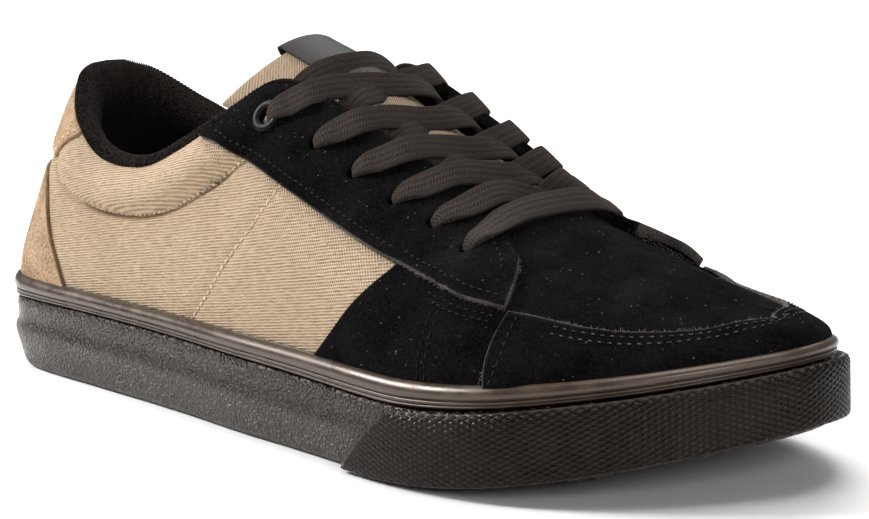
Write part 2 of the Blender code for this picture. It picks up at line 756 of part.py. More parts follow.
def make_strand(name, path, finish):
    """A flat lace strip along a path."""
    points = [point for point, _ in path]
    rows = []
    for k, (point, facing) in enumerate(path):
        along = (points[min(k + 1, len(points) - 1)] - points[max(k - 1, 0)]).normalized()
        width = facing.cross(along).normalized() * LACE_WIDTH / 2
        normal = along.cross(width).normalized() * LACE_THICKNESS / 2
        upper_side = [point + width + normal, point - width + normal]
        rows.append(upper_side + [point - width - normal, point + width - normal])
    return loft(name, rows, finish, closed_ring=True, solid=True)


def make_lace():
    """The bar at the bottom, and the crossings from each eyelet to the next one down on the other side."""
    woven = material("lace_weave", (0.012, 0.011, 0.010), 0.9)
    lateral = list(EYELETS)
    medial = [(2 - a, up) for a, up in EYELETS]
    make_strand("lace_bar", bar_path(lateral[-1], medial[-1]), woven)
    for n, tuck in enumerate(LACE_TUCKS):
        crossing = make_strand(f"lace_crossing_{n + 1}", crossing_path(lateral[n], 2 - tuck), woven)
        other = make_strand(f"under_strand_{n + 1}", crossing_path(medial[n], tuck), woven)
        joined = crossing.modifiers.new("crossing", "BOOLEAN")
        joined.operation = "UNION"
        joined.object = other
        PARTS.objects.unlink(other)
        CUTTERS.objects.link(other)
        other.hide_render = True
        other.display_type = "WIRE"


CUTTERS = bpy.data.collections.new("cutters")
bpy.context.scene.collection.children.link(CUTTERS)
DRILL = make_hole_cutter()

make_outsole()
make_foxing_band()
make_toe_bumper()
make_insole()
cut(make_upper())
make_tongue()
make_tongue_label()
make_overlays()
make_collar_pad()
make_eyelets()
make_lace()
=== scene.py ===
import math

import bmesh
import bpy
import numpy as np
from mathutils import Matrix, Vector


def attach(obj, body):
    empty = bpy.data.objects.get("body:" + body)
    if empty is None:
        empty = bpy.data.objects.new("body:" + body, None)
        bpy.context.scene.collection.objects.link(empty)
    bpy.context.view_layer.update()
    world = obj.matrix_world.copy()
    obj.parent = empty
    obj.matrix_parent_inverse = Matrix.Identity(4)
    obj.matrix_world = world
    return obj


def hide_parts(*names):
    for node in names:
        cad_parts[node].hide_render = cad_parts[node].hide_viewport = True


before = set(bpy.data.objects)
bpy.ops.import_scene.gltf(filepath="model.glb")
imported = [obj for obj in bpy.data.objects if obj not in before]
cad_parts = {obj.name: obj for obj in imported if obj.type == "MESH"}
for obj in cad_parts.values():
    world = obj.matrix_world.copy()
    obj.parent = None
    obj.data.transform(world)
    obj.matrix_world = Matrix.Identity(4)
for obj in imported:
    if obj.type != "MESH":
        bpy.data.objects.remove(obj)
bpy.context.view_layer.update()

print("frame:", len(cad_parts), "solids")

# The last: metres, x from the heel to the toe, outer side of the foot at -y.
# around: 0 back, 1 toe end by the outer side, 2 back again; turn is the same on one side.
# up: 0 in the sole's cup, feather at the top of the sole, 1 at the collar, throat or ridge.
lastForm = {
    "length": 0.303, "back": -0.003, "joint": 0.0004, "plate": 0.011, "cupWall": 0.0034,
    "toeSpring": 0.016, "toeBreak": 0.205, "toeCurve": 1.8, "heelRise": 0.003, "heelRun": 0.016,
    "bumperRoom": 0.0022, "bumperTurns": (0.46, 0.58), "feather": 0.18, "ridgeStart": 0.66,
    # where the wall starts to lean to the ridge, and the share of the wall that the ridge rounds
    "leanTurns": (0.60, 0.70), "ridgeStep": 0.01, "ridgeUp": 0.90,
    # small steps for slopes, and places along one side
    "probeTurn": 0.004, "probeUp": 0.01, "samples": 401,
}
# turn, half width on the outer side, half width on the inner side
outlineTable = np.array((
    (0.00, 0.0000, 0.0000), (0.05, 0.0155, 0.0150), (0.10, 0.0280, 0.0265), (0.15, 0.0338, 0.0322),
    (0.20, 0.0363, 0.0352), (0.30, 0.0393, 0.0376), (0.40, 0.0432, 0.0372), (0.50, 0.0495, 0.0400),
    (0.60, 0.0560, 0.0472), (0.66, 0.0568, 0.0502), (0.72, 0.0525, 0.0502), (0.80, 0.0370, 0.0438),
    (0.86, 0.0220, 0.0356), (0.92, 0.0070, 0.0250), (0.96, -0.0005, 0.0168), (1.00, -0.0080, 0.0080),
))
# along, height of the cup's wall, height of the band above it
wallTable = np.array((
    (-0.003, 0.0215, 0.0085), (0.012, 0.0225, 0.0075), (0.036, 0.0230, 0.0066), (0.150, 0.0220, 0.0068),
    (0.210, 0.0204, 0.0074), (0.255, 0.0197, 0.0062), (0.280, 0.0182, 0.0057), (0.300, 0.0166, 0.0052),
))
# turn, top edge along, half gap, height, then rise, swell, reach outside, reach inside and pitch of the wall
upperTable = np.array((
    (0.00, 0.0220, 0.0000, 0.0925, 0.010, -0.0012, 0.018, 0.018, 58),
    (0.05, 0.0234, 0.0072, 0.0920, 0.010, -0.0012, 0.018, 0.018, 59),
    (0.10, 0.0273, 0.0140, 0.0893, 0.010, -0.0012, 0.018, 0.018, 61),
    (0.20, 0.0420, 0.0247, 0.0785, 0.013, 0.0004, 0.017, 0.017, 67),
    (0.32, 0.0680, 0.0298, 0.0695, 0.018, 0.0022, 0.015, 0.015, 74),
    (0.36, 0.0840, 0.0302, 0.0705, 0.018, 0.0020, 0.015, 0.015, 74),
    (0.40, 0.1010, 0.0303, 0.0770, 0.020, 0.0020, 0.018, 0.018, 72),
    (0.44, 0.1170, 0.0285, 0.0855, 0.024, 0.0020, 0.022, 0.022, 68),
    (0.48, 0.1340, 0.0225, 0.0955, 0.028, 0.0020, 0.028, 0.027, 60),
    (0.52, 0.1520, 0.0198, 0.0926, 0.028, 0.0018, 0.030, 0.028, 54),
    (0.56, 0.1720, 0.0184, 0.0837, 0.025, 0.0014, 0.030, 0.027, 46),
    (0.60, 0.1920, 0.0160, 0.0744, 0.021, 0.0010, 0.030, 0.024, 34),
    (0.63, 0.2060, 0.0110, 0.0678, 0.018, 0.0006, 0.031, 0.021, 22),
    (0.65, 0.2140, 0.0050, 0.0648, 0.016, 0.0005, 0.034, 0.020, 9),
    (0.66, 0.2170, 0.0000, 0.0634, 0.015, 0.0004, 0.037, 0.018, 0),
    (0.70, 0.2310, 0.0000, 0.0583, 0.013, 0.0002, 0.035, 0.013, 0),
    (0.75, 0.2450, 0.0000, 0.0536, 0.008, 0.0000, 0.032, 0.010, 0),
    (0.80, 0.2560, 0.0000, 0.0501, 0.006, 0.0000, 0.026, 0.008, 0),
    (0.86, 0.2665, 0.0000, 0.0463, 0.004, 0.0000, 0.018, 0.006, 0),
    (0.92, 0.2745, 0.0000, 0.0442, 0.0035, 0.0000, 0.012, 0.005, 0),
    (1.00, 0.2800, 0.0000, 0.0428, 0.003, 0.0000, 0.008, 0.005, 0),
))
# along, sideways place of the throat's and vamp's middle line
middleTable = np.array(((0.0, 0.0), (0.120, 0.0), (0.215, 0.004), (0.250, 0.007), (0.300, 0.008)))
# Eyelets of one side, top to bottom: around, up
eyelets = ((0.487, 0.883), (0.528, 0.862), (0.559, 0.852), (0.590, 0.841), (0.618, 0.820), (0.650, 0.733))


def curveThrough(table, column, at):
    # smooth curve through one column of a table, by its first column
    table = np.asarray(table, float)
    xs, ys = table[:, 0], table[:, column]
    at = np.clip(at, xs[0], xs[-1])
    steps = np.diff(ys) / np.diff(xs)
    slopes = np.concatenate([steps[:1], (steps[:-1] + steps[1:]) / 2, steps[-1:]])
    i = np.clip(np.searchsorted(xs, at, side="right") - 1, 0, len(xs) - 2)
    width = xs[i + 1] - xs[i]
    s = (at - xs[i]) / width
    ends = ys[i] * (1 + 2 * s) * (1 - s) ** 2 + ys[i + 1] * s * s * (3 - 2 * s)
    return ends + width * (slopes[i] * s * (1 - s) ** 2 + slopes[i + 1] * s * s * (s - 1))


def ease(low, high, at):
    s = np.clip((np.asarray(at, float) - low) / (high - low), 0, 1)
    return s * s * (3 - 2 * s)


def unit(vectors):
    return vectors / np.maximum(np.linalg.norm(vectors, axis=-1, keepdims=True), 1e-12)


def stack(*values):
    return np.stack(np.broadcast_arrays(*values), -1)


def runningLength(points):
    steps = np.linalg.norm(np.diff(points, axis=0), axis=1)
    return np.concatenate([[0], np.cumsum(steps)])


def sideAndTurn(around):
    around = np.mod(around, 2)
    return np.where(around <= 1, -1.0, 1.0), np.where(around <= 1, around, 2 - around)


def outlineAt(around):
    side, turn = sideAndTurn(around)
    x = lastForm["back"] + lastForm["length"] * (1 - np.cos(np.pi * turn)) / 2
    half = np.where(side < 0, curveThrough(outlineTable, 1, turn), curveThrough(outlineTable, 2, turn))
    return stack(x, side * half, 0.0)


def outwardAt(around):
    around, probe = np.asarray(around), lastForm["probeTurn"]
    step = outlineAt(around + probe) - outlineAt(around - probe)
    return unit(stack(step[..., 1], -step[..., 0], 0.0))


def ringAt(around, inset):
    room = lastForm["bumperRoom"] * ease(*lastForm["bumperTurns"], sideAndTurn(around)[1])
    return outlineAt(around) - outwardAt(around) * (inset + room)[..., None]


def groundAt(x):
    heel = lastForm["heelRise"] * np.maximum(1 - (x - lastForm["back"]) / lastForm["heelRun"], 0) ** 2
    end = lastForm["back"] + lastForm["length"]
    toe = np.maximum((x - lastForm["toeBreak"]) / (end - lastForm["toeBreak"]), 0) ** lastForm["toeCurve"]
    return heel + lastForm["toeSpring"] * toe


def grooveAt(x):
    return groundAt(x) + curveThrough(wallTable, 1, x)


def bandTopAt(x):
    return grooveAt(x) + curveThrough(wallTable, 2, x)


def middleAt(x):
    return curveThrough(middleTable, 1, x)


def topEdgeAt(around):
    side, turn = sideAndTurn(around)
    x = curveThrough(upperTable, 1, turn)
    gap = np.where(turn >= lastForm["ridgeStart"], 0, curveThrough(upperTable, 2, turn))
    return stack(x, middleAt(x) + side * gap, curveThrough(upperTable, 3, turn))


def upperAt(around, up):
    around, up = np.broadcast_arrays(np.asarray(around, float), np.asarray(up, float))
    side, turn = sideAndTurn(around)
    foot = ringAt(around, lastForm["cupWall"] + lastForm["joint"] + 0 * around)
    foot = stack(foot[..., 0], foot[..., 1], bandTopAt(foot[..., 0]))
    top = topEdgeAt(around)
    out = outwardAt(around)
    blend = ease(*lastForm["leanTurns"], turn)[..., None]
    away = unit(out * (1 - blend) + unit((foot - top) * (1, 1, 0)) * blend)
    near = np.maximum(turn - lastForm["ridgeStep"], lastForm["ridgeStart"])
    far = near + lastForm["ridgeStep"]
    run, fall = [curveThrough(upperTable, k, far) - curveThrough(upperTable, k, near) for k in (1, 3)]
    slope = fall / np.maximum(run, 1e-6) * blend[..., 0]
    pitch = np.radians(np.maximum(curveThrough(upperTable, 8, turn), 0))
    reach = np.where(side < 0, curveThrough(upperTable, 6, turn), curveThrough(upperTable, 7, turn))
    lower = foot + stack(0.0, 0.0, curveThrough(upperTable, 4, turn))
    lower = lower + out * curveThrough(upperTable, 5, turn)[..., None]
    sink = stack(0.0, 0.0, np.sin(pitch) - away[..., 0] * slope)
    upper = top + reach[..., None] * (away * np.cos(pitch)[..., None] - sink)
    feather = lastForm["feather"]
    s = np.maximum((up - feather) / (1 - feather), 0)[..., None]
    face = foot * (1 - s) ** 3 + lower * 3 * s * (1 - s) ** 2 + upper * 3 * s * s * (1 - s) + top * s**3
    base = groundAt(foot[..., 0]) + lastForm["plate"] + lastForm["joint"]
    inCup = stack(foot[..., 0], foot[..., 1], base + (foot[..., 2] - base) * up / feather)
    return np.where((up < feather)[..., None], inCup, face)


def slopeNormal(around, up):
    probeTurn, probeUp = lastForm["probeTurn"], lastForm["probeUp"]
    along = upperAt(around + probeTurn, up) - upperAt(around - probeTurn, up)
    rising = upperAt(around, np.minimum(up + probeUp, 1)) - upperAt(around, np.maximum(up - probeUp, 0))
    return unit(np.cross(along, rising))


def normalAt(around, up):
    around, up = np.broadcast_arrays(np.asarray(around, float), np.asarray(up, float))
    own = slopeNormal(around, up)
    turn = sideAndTurn(around)[1]
    share = (ease(lastForm["ridgeUp"], 1, up) * (turn >= lastForm["ridgeStart"]))[..., None]
    ridge = unit(slopeNormal(around, up * 0 + 1) + slopeNormal(2 - around, up * 0 + 1))
    return unit(own * (1 - share) + ridge * share)


ringPlaces = outlineAt(np.linspace(0, 2, lastForm["samples"]))
rowShift = np.array((
    -lastForm["back"] - lastForm["length"] / 2,
    -(ringPlaces[:, 1].min() + ringPlaces[:, 1].max()) / 2,
    0.0,
))
arcPlaces = np.linspace(0, 1, lastForm["samples"])
arcTable = runningLength(outlineAt(arcPlaces))


# Soft relief of the upper's face: padding, sewn channels and creases, in metres along its normal
relief = {
    # turn, up of the line that is sewn under the collar's padding
    "padLine": ((0.0, 0.745), (0.10, 0.745), (0.179, 0.733), (0.230, 0.700), (0.283, 0.685), (0.345, 0.690),
                (0.384, 0.695), (0.432, 0.720), (0.472, 0.758), (0.520, 0.800)),
    "padBulge": 0.0050, "padBegins": (0.13, 0.24), "padEnds": (0.435, 0.500), "padRound": (0.62, 0.80),
    "wallHeight": 0.052, "padTrough": 0.0022, "padTroughWidth": 0.0014, "troughBegins": (0.12, 0.20),
    "pucker": 0.00020, "puckerPitch": 0.0040, "puckerWander": (0.9, 310), "puckerAbove": 0.0016,
    "puckerWidth": 0.0026, "puckerBegins": (0.13, 0.20),
    # turn, up of the line sewn down the quarter
    "slantLine": ((0.512, 0.691), (0.492, 0.524), (0.462, 0.365), (0.418, 0.157)),
    "slantSteps": 24, "slantTrough": 0.0007, "slantTroughWidth": 0.0011,
    "slantSwell": 0.0003, "slantSwellAway": 0.006, "slantSwellWidth": 0.006,
    # slow drift: rate along and start, rate up and lean, then share, rate along and rate up of a finer one
    "drift": 0.00022, "driftUps": (0.2, 0.4, 0.9, 1.0), "driftAlong": (95, 1.3), "driftRise": (120, 40),
    "driftFine": (0.6, 190, 9),
    # along, depth of the creases where the vamp bends
    "creases": ((0.214, 0.00022), (0.226, 0.00032), (0.238, 0.00020)), "creaseWidth": 0.0030,
    "creaseLean": 0.012, "creaseTurns": (0.62, 0.68), "creaseUps": (0.45, 0.80),
}


def smoothLine(places, count):
    # a smooth run of places through a few of them
    places = np.asarray(places, float)
    keyed = np.column_stack([runningLength(places), places])
    at = np.linspace(0, keyed[-1, 0], count)
    return np.stack([curveThrough(keyed, k, at) for k in range(1, keyed.shape[1])], -1)


def lineDistance(points, line):
    start, step = line[:-1], np.diff(line, axis=0)
    offset = points[..., None, :] - start
    s = np.clip((offset * step).sum(-1) / (step * step).sum(-1), 0, 1)
    return np.linalg.norm(offset - s[..., None] * step, axis=-1).min(-1)


slantPlaces = smoothLine(relief["slantLine"], relief["slantSteps"])
slantPoints = upperAt(slantPlaces[:, 0], slantPlaces[:, 1])


def hump(distance, width):
    return np.exp(-((distance / width) ** 2))


def padAt(turn, up, arc):
    # the collar's padding, the channel sewn under it and the puckers along that
    pad = curveThrough(relief["padLine"], 1, turn)
    height = relief["wallHeight"] * (up - pad)
    share = np.clip((up - pad) / (1 - pad), 0, 1)
    collar = 1 - ease(*relief["padEnds"], turn)
    lean, fullness = relief["padRound"]
    bulge = relief["padBulge"] * ease(*relief["padBegins"], turn) * np.sin(np.pi * share**lean) ** fullness
    trough = relief["padTrough"] * hump(height, relief["padTroughWidth"])
    trough = trough * ease(*relief["troughBegins"], turn)
    wander, rate = relief["puckerWander"]
    ripple = np.sin(2 * np.pi * arc / relief["puckerPitch"] + wander * np.sin(arc * rate))
    pucker = relief["pucker"] * ripple * hump(height - relief["puckerAbove"], relief["puckerWidth"])
    return collar * (bulge - trough + pucker * ease(*relief["puckerBegins"], turn))


def slantAt(point):
    # the channel sewn down the quarter, with the cloth swelling beside it
    apart = lineDistance(point, slantPoints)
    swell = relief["slantSwell"] * hump(apart - relief["slantSwellAway"], relief["slantSwellWidth"])
    return swell - relief["slantTrough"] * hump(apart, relief["slantTroughWidth"])


def driftAt(point, up, arc):
    # slow unevenness of the cloth
    rate, start = relief["driftAlong"]
    rateUp, lean = relief["driftRise"]
    share, fineRate, fineUp = relief["driftFine"]
    slow = np.sin(arc * rate + start) * np.sin(point[..., 2] * rateUp + arc * lean)
    slow = slow + share * np.sin(arc * fineRate + up * fineUp)
    lowStart, lowEnd, highStart, highEnd = relief["driftUps"]
    return relief["drift"] * slow * ease(lowStart, lowEnd, up) * (1 - ease(highStart, highEnd, up))


def creasesAt(point, turn, up):
    depths = 0.0
    for along, depth in relief["creases"]:
        bend = point[..., 0] - along + relief["creaseLean"] * (1 - up)
        depths = depths + depth * hump(bend, relief["creaseWidth"])
    return depths * ease(*relief["creaseTurns"], turn) * ease(*relief["creaseUps"], up)


def reliefAt(around, up):
    around, up = np.broadcast_arrays(np.asarray(around, float), np.asarray(up, float))
    turn = sideAndTurn(around)[1]
    point = upperAt(turn, up)
    arc = np.interp(turn, arcPlaces, arcTable)
    return padAt(turn, up, arc) + slantAt(point) + driftAt(point, up, arc) - creasesAt(point, turn, up)


def faceAt(around, up, lift=0.0, relieved=True):
    around, up = np.broadcast_arrays(np.asarray(around, float), np.asarray(up, float))
    height = np.asarray(lift, float) + (reliefAt(around, up) if relieved else 0.0)
    return upperAt(around, up) + normalAt(around, up) * (height + 0 * up)[..., None]


def clothMap(around, up):
    # flat place of the cloth, in metres: along the sole's edge and up
    turn = sideAndTurn(around)[1]
    return stack(np.interp(turn, arcPlaces, arcTable), upperAt(turn, up)[..., 2])


# Building meshes

def meshObject(name, points, faces, flat=None, edge=None, turnOut=False):
    mesh = bpy.data.meshes.new(name)
    points = np.asarray(points, float).reshape(-1, 3) + rowShift
    mesh.from_pydata(points.tolist(), [], faces if isinstance(faces, list) else faces.tolist())
    if flat is not None:
        loops = np.empty(len(mesh.loops), np.int32)
        mesh.loops.foreach_get("vertex_index", loops)
        layer = mesh.uv_layers.new(name="weave")
        layer.data.foreach_set("uv", np.asarray(flat, np.float32).reshape(-1, 2)[loops].ravel())
    if edge is not None:
        mark = mesh.attributes.new("edge", "FLOAT", "POINT")
        mark.data.foreach_set("value", np.asarray(edge, np.float32).ravel())
    if turnOut:
        bm = bmesh.new()
        bm.from_mesh(mesh)
        bmesh.ops.recalc_face_normals(bm, faces=bm.faces)
        bm.to_mesh(mesh)
        bm.free()
    mesh.shade_smooth()
    obj = bpy.data.objects.new(name, mesh)
    bpy.context.scene.collection.objects.link(obj)
    return obj


def gridFaces(rows, columns, closeRows=False, closeColumns=False):
    i = np.arange(rows if closeRows else rows - 1)[:, None]
    j = np.arange(columns if closeColumns else columns - 1)[None, :]
    nextI, nextJ = (i + 1) % rows, (j + 1) % columns
    corners = (i * columns + j, nextI * columns + j, nextI * columns + nextJ, i * columns + nextJ)
    return np.stack(np.broadcast_arrays(*corners), -1).reshape(-1, 4)


def closedSheet(name, outer, inner, flat, edge=None, keep=None, weld=None, flip=False):
    # two layers of one grid joined round every border, holes too
    rows, columns = outer.shape[:2]
    count = rows * columns
    quads = gridFaces(rows, columns)
    if keep is not None:
        quads = quads[keep.ravel()]
    if weld is not None:
        quads = weld[quads]
    starts = quads.ravel()
    ends = np.roll(quads, -1, axis=1).ravel()
    border = ~np.isin(starts * count + ends, ends * count + starts) & (starts != ends)
    a, b = starts[border], ends[border]
    walls = np.stack([b, a, a + count, b + count], -1)
    faces = np.concatenate([quads, quads[:, ::-1] + count, walls])
    if flip:
        faces = faces[:, ::-1]
    points = np.concatenate([outer.reshape(-1, 3), inner.reshape(-1, 3)])
    edge = np.zeros(outer.shape[:2]) if edge is None else edge
    obj = meshObject(
        name, points, faces, np.concatenate([flat.reshape(-1, 2)] * 2), np.concatenate([edge.ravel()] * 2)
    )
    if weld is not None:
        bm = bmesh.new()
        bm.from_mesh(obj.data)
        bmesh.ops.dissolve_degenerate(bm, dist=1e-7, edges=bm.edges)
        bmesh.ops.delete(bm, geom=[v for v in bm.verts if not v.link_faces], context="VERTS")
        bm.to_mesh(obj.data)
        bm.free()
        obj.data.shade_smooth()
    return obj


def tubeObject(name, rows, flat=None, closed=False):
    # rows of points round a closed section, with its ends filled
    rows = np.asarray(rows)
    count, ring = rows.shape[:2]
    faces = gridFaces(count, ring, closeRows=closed, closeColumns=True).tolist()
    if not closed:
        faces += [list(range(ring)), list(range((count - 1) * ring, count * ring))]
    return meshObject(name, rows, faces, flat, turnOut=True)


def joined(name, parts):
    bpy.ops.object.select_all(action="DESELECT")
    for part in parts:
        part.select_set(True)
    bpy.context.view_layer.objects.active = parts[0]
    bpy.ops.object.join()
    parts[0].name = name
    parts[0].data.name = name
    return parts[0]


def finishPiece(obj, material, slotName, *nodes):
    obj.data.materials.clear()
    obj.data.materials.append(material)
    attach(obj, "root")
    if nodes:
        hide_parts(*nodes)


# Materials

def tone(red, green, blue):
    values = np.array((red, green, blue)) / 255
    return (*np.where(values <= 0.04045, values / 12.92, ((values + 0.055) / 1.055) ** 2.4), 1.0)


def put(tree, kind, inputs=None, **settings):
    node = tree.nodes.new(kind)
    for key, value in settings.items():
        setattr(node, key, value)
    for key, value in (inputs or {}).items():
        if isinstance(value, bpy.types.NodeSocket):
            tree.links.new(value, node.inputs[key])
        else:
            node.inputs[key].default_value = value
    return node


def maths(tree, operation, *values):
    return put(tree, "ShaderNodeMath", dict(enumerate(values)), operation=operation).outputs[0]


def mixed(tree, share, first, second, blend="MIX"):
    node = put(tree, "ShaderNodeMix", {0: share, 6: first, 7: second}, data_type="RGBA", blend_type=blend)
    return node.outputs[2]


def ranged(tree, value, low, high, toLow=0.0, toHigh=1.0):
    inputs = {"Value": value, "From Min": low, "From Max": high, "To Min": toLow, "To Max": toHigh}
    return put(tree, "ShaderNodeMapRange", inputs).outputs[0]


def graded(tree, value, low, high, dark, light):
    # a colour between two tones, by where a value lies in a range
    return mixed(tree, ranged(tree, value, low, high), dark, light)


def wave(tree, operation, turns):
    return maths(tree, operation, maths(tree, "MULTIPLY", turns, 2 * math.pi))


def noise(tree, place, scale, detail=2.0, roughness=0.5):
    inputs = {"Vector": place, "Scale": scale, "Detail": detail, "Roughness": roughness}
    return put(tree, "ShaderNodeTexNoise", inputs).outputs[0]


def shaderGroup(name, inputs, outputs):
    tree = bpy.data.node_groups.new(name, "ShaderNodeTree")
    for label, kind, value in inputs:
        socket = tree.interface.new_socket(label, in_out="INPUT", socket_type="NodeSocket" + kind)
        socket.default_value = value
    for label, kind in outputs:
        tree.interface.new_socket(label, in_out="OUTPUT", socket_type="NodeSocket" + kind)
    return tree, tree.nodes.new("NodeGroupInput").outputs, tree.nodes.new("NodeGroupOutput")


def endGroup(tree, out, **sockets):
    for label, value in sockets.items():
        tree.links.new(value, out.inputs[label])
    return tree


def useGroup(tree, group, inputs):
    return put(tree, "ShaderNodeGroup", inputs, node_tree=group).outputs


def newFinish(name, roughness, specular, sheen=0.0, sheenTint=(1, 1, 1, 1)):
    material = bpy.data.materials.new(name)
    material.use_nodes = True
    tree = material.node_tree
    shader = tree.nodes["Principled BSDF"]
    values = {
        "Roughness": roughness, "Specular IOR Level": specular,
        "Sheen Weight": sheen, "Sheen Roughness": 0.5, "Sheen Tint": sheenTint,
    }
    for key, value in values.items():
        shader.inputs[key].default_value = value
    return material, tree, shader


def bumped(tree, shader, height, distance):
    bump = put(tree, "ShaderNodeBump", {"Height": height, "Distance": distance, "Strength": 1.0})
    tree.links.new(bump.outputs[0], shader.inputs["Normal"])


def coloured(tree, shader, colour):
    tree.links.new(colour, shader.inputs["Base Color"])


def objectPlace(tree):
    return put(tree, "ShaderNodeTexCoord").outputs["Object"]


# the edge attribute: raw cut edges of the sheets, and painted shade in the bumper knurl's valleys
def edgeOrShadeMark(tree):
    return put(tree, "ShaderNodeAttribute", attribute_name="edge").outputs["Fac"]


def clothPlace(tree):
    return put(tree, "ShaderNodeUVMap", uv_map="weave").outputs[0]


def twillWeaveGroup():
    # slanted ribs of short floats, with uneven yarns
    tree, given, out = shaderGroup(
        "twillWeave",
        [("Place", "Vector", (0, 0, 0)), ("Pitch", "Float", 0.0008), ("Slant", "Float", 0.3)],
        [("Height", "Float"), ("Yarn", "Float"), ("Fleck", "Float")],
    )
    inputs = {"Vector": given["Place"], "Angle": given["Slant"]}
    turned = put(tree, "ShaderNodeVectorRotate", inputs, rotation_type="Z_AXIS").outputs[0]
    wander = maths(tree, "MULTIPLY", noise(tree, turned, 260.0), 0.00028)
    across = put(tree, "ShaderNodeSeparateXYZ", {0: turned}).outputs
    rib = maths(tree, "DIVIDE", maths(tree, "ADD", across["Y"], wander), given["Pitch"])
    ribWave = maths(tree, "MULTIPLY", wave(tree, "SINE", rib), 0.38)
    step = maths(tree, "MULTIPLY", rib, 0.5)  # each rib's floats start half a float on
    floats = maths(tree, "ADD", maths(tree, "DIVIDE", across["X"], given["Pitch"]), step)
    height = maths(tree, "MULTIPLY_ADD", wave(tree, "SINE", floats), 0.24, ribWave)
    stretched = put(tree, "ShaderNodeMapping", {"Vector": turned, "Scale": (0.12, 1.0, 1.0)}).outputs[0]
    yarn = noise(tree, stretched, 2200.0, 2.0)
    fleck = ranged(tree, noise(tree, turned, 640.0, 1.0), 0.715, 0.76)
    return endGroup(tree, out, Height=maths(tree, "MULTIPLY_ADD", yarn, 0.5, height), Yarn=yarn, Fleck=fleck)


def suedeNapGroup():
    # short fibres, brushed patches and lint
    tree, given, out = shaderGroup(
        "suedeNap", [("Place", "Vector", (0, 0, 0)), ("Fibre", "Float", 3200.0)],
        [("Height", "Float"), ("Patch", "Float"), ("Lint", "Float")],
    )
    leaned = put(tree, "ShaderNodeMapping", {"Vector": given["Place"], "Scale": (0.55, 1.0, 0.8)}).outputs[0]
    fibres = noise(tree, leaned, given["Fibre"], 3.0, 0.65)
    clumps = noise(tree, given["Place"], 1200.0, 2.0)
    patch = noise(tree, given["Place"], 75.0, 3.0, 0.6)
    lint = ranged(tree, noise(tree, given["Place"], 1500.0, 0.0), 0.815, 0.85)
    height = maths(tree, "MULTIPLY_ADD", clumps, 0.6, fibres)
    return endGroup(tree, out, Height=height, Patch=patch, Lint=lint)


def pebbleSkinGroup():
    # moulded rubber: rounded pebbles with smooth patches and scuffs
    tree, given, out = shaderGroup(
        "pebbleSkin", [("Place", "Vector", (0, 0, 0)), ("Pebbles", "Float", 1100.0)],
        [("Height", "Float"), ("Scuff", "Float")],
    )
    drawn = put(tree, "ShaderNodeMapping", {"Vector": given["Place"], "Scale": (0.72, 0.72, 1.0)}).outputs[0]
    inputs = {"Vector": drawn, "Scale": given["Pebbles"], "Smoothness": 0.18}
    cells = put(tree, "ShaderNodeTexVoronoi", inputs, feature="SMOOTH_F1").outputs[0]
    domes = ranged(tree, cells, 0.58, 0.10)
    grain = noise(tree, given["Place"], 2600.0, 2.0)
    scuff = noise(tree, given["Place"], 130.0, 4.0, 0.62)
    return endGroup(tree, out, Height=maths(tree, "MULTIPLY_ADD", grain, 0.25, domes), Scuff=scuff)


def braidWeaveGroup():
    # herringbone of flat braided yarns; the place is along and across, in metres
    tree, given, out = shaderGroup(
        "braidWeave",
        [("Place", "Vector", (0, 0, 0)), ("Pitch", "Float", 0.0014), ("Lane", "Float", 0.0016)],
        [("Height", "Float")],
    )
    parts = put(tree, "ShaderNodeSeparateXYZ", {0: given["Place"]}).outputs
    lane = maths(tree, "DIVIDE", parts["Y"], given["Lane"])
    zigzag = maths(tree, "PINGPONG", lane, 1.0)
    lean = maths(tree, "MULTIPLY", zigzag, 0.9)
    run = maths(tree, "ADD", maths(tree, "DIVIDE", parts["X"], given["Pitch"]), lean)
    yarns = wave(tree, "SINE", run)
    rows = wave(tree, "COSINE", lane)
    fuzz = noise(tree, given["Place"], 1700.0, 2.0)
    height = maths(tree, "MULTIPLY_ADD", rows, 0.16, maths(tree, "MULTIPLY", yarns, 0.26))
    return endGroup(tree, out, Height=maths(tree, "MULTIPLY_ADD", fuzz, 0.75, height))


twillWeave = twillWeaveGroup()
suedeNap = suedeNapGroup()
pebbleSkin = pebbleSkinGroup()
braidWeave = braidWeaveGroup()


twillForm = {
    # valley and ridge: tones for the weave's valleys and ridges, painted shade and painted highlight
    "pitch": 0.00081, "relief": 0.00040, "valleyShade": tone(118, 97, 76), "ridge": tone(216, 190, 161),
    # tones mixed in, and how much of each at most: pale yarns, slow drift and dark flecks
    "yarn": tone(224, 201, 173), "yarnShare": 0.30, "drift": tone(164, 138, 111), "driftShare": 0.20,
    "fleck": tone(104, 80, 60), "fleckShare": 0.55,
}


def twillFinish(name, slant, shade):
    material, tree, shader = newFinish(name, roughness=0.92, specular=0.12)
    inputs = {"Place": clothPlace(tree), "Pitch": twillForm["pitch"], "Slant": slant}
    weave = useGroup(tree, twillWeave, inputs)
    slow = noise(tree, objectPlace(tree), 55.0, 3.0, 0.6)
    yarn = ranged(tree, weave["Yarn"], 0.35, 0.65, 0.0, twillForm["yarnShare"])
    drift = ranged(tree, slow, 0.45, 0.75, 0.0, twillForm["driftShare"])
    fleck = maths(tree, "MULTIPLY", weave["Fleck"], twillForm["fleckShare"])
    # painted shade and highlight: darker in the weave's valleys, lighter on its ridges, mixed with uneven
    # yarn tone
    colour = graded(tree, weave["Height"], -0.35, 0.75, twillForm["valleyShade"], twillForm["ridge"])
    for key, share in (("yarn", yarn), ("drift", drift), ("fleck", fleck)):
        colour = mixed(tree, share, colour, twillForm[key])
    colour = mixed(tree, 1.0, colour, (shade, shade, shade, 1.0), "MULTIPLY")
    coloured(tree, shader, colour)
    bumped(tree, shader, weave["Height"], twillForm["relief"])
    return material


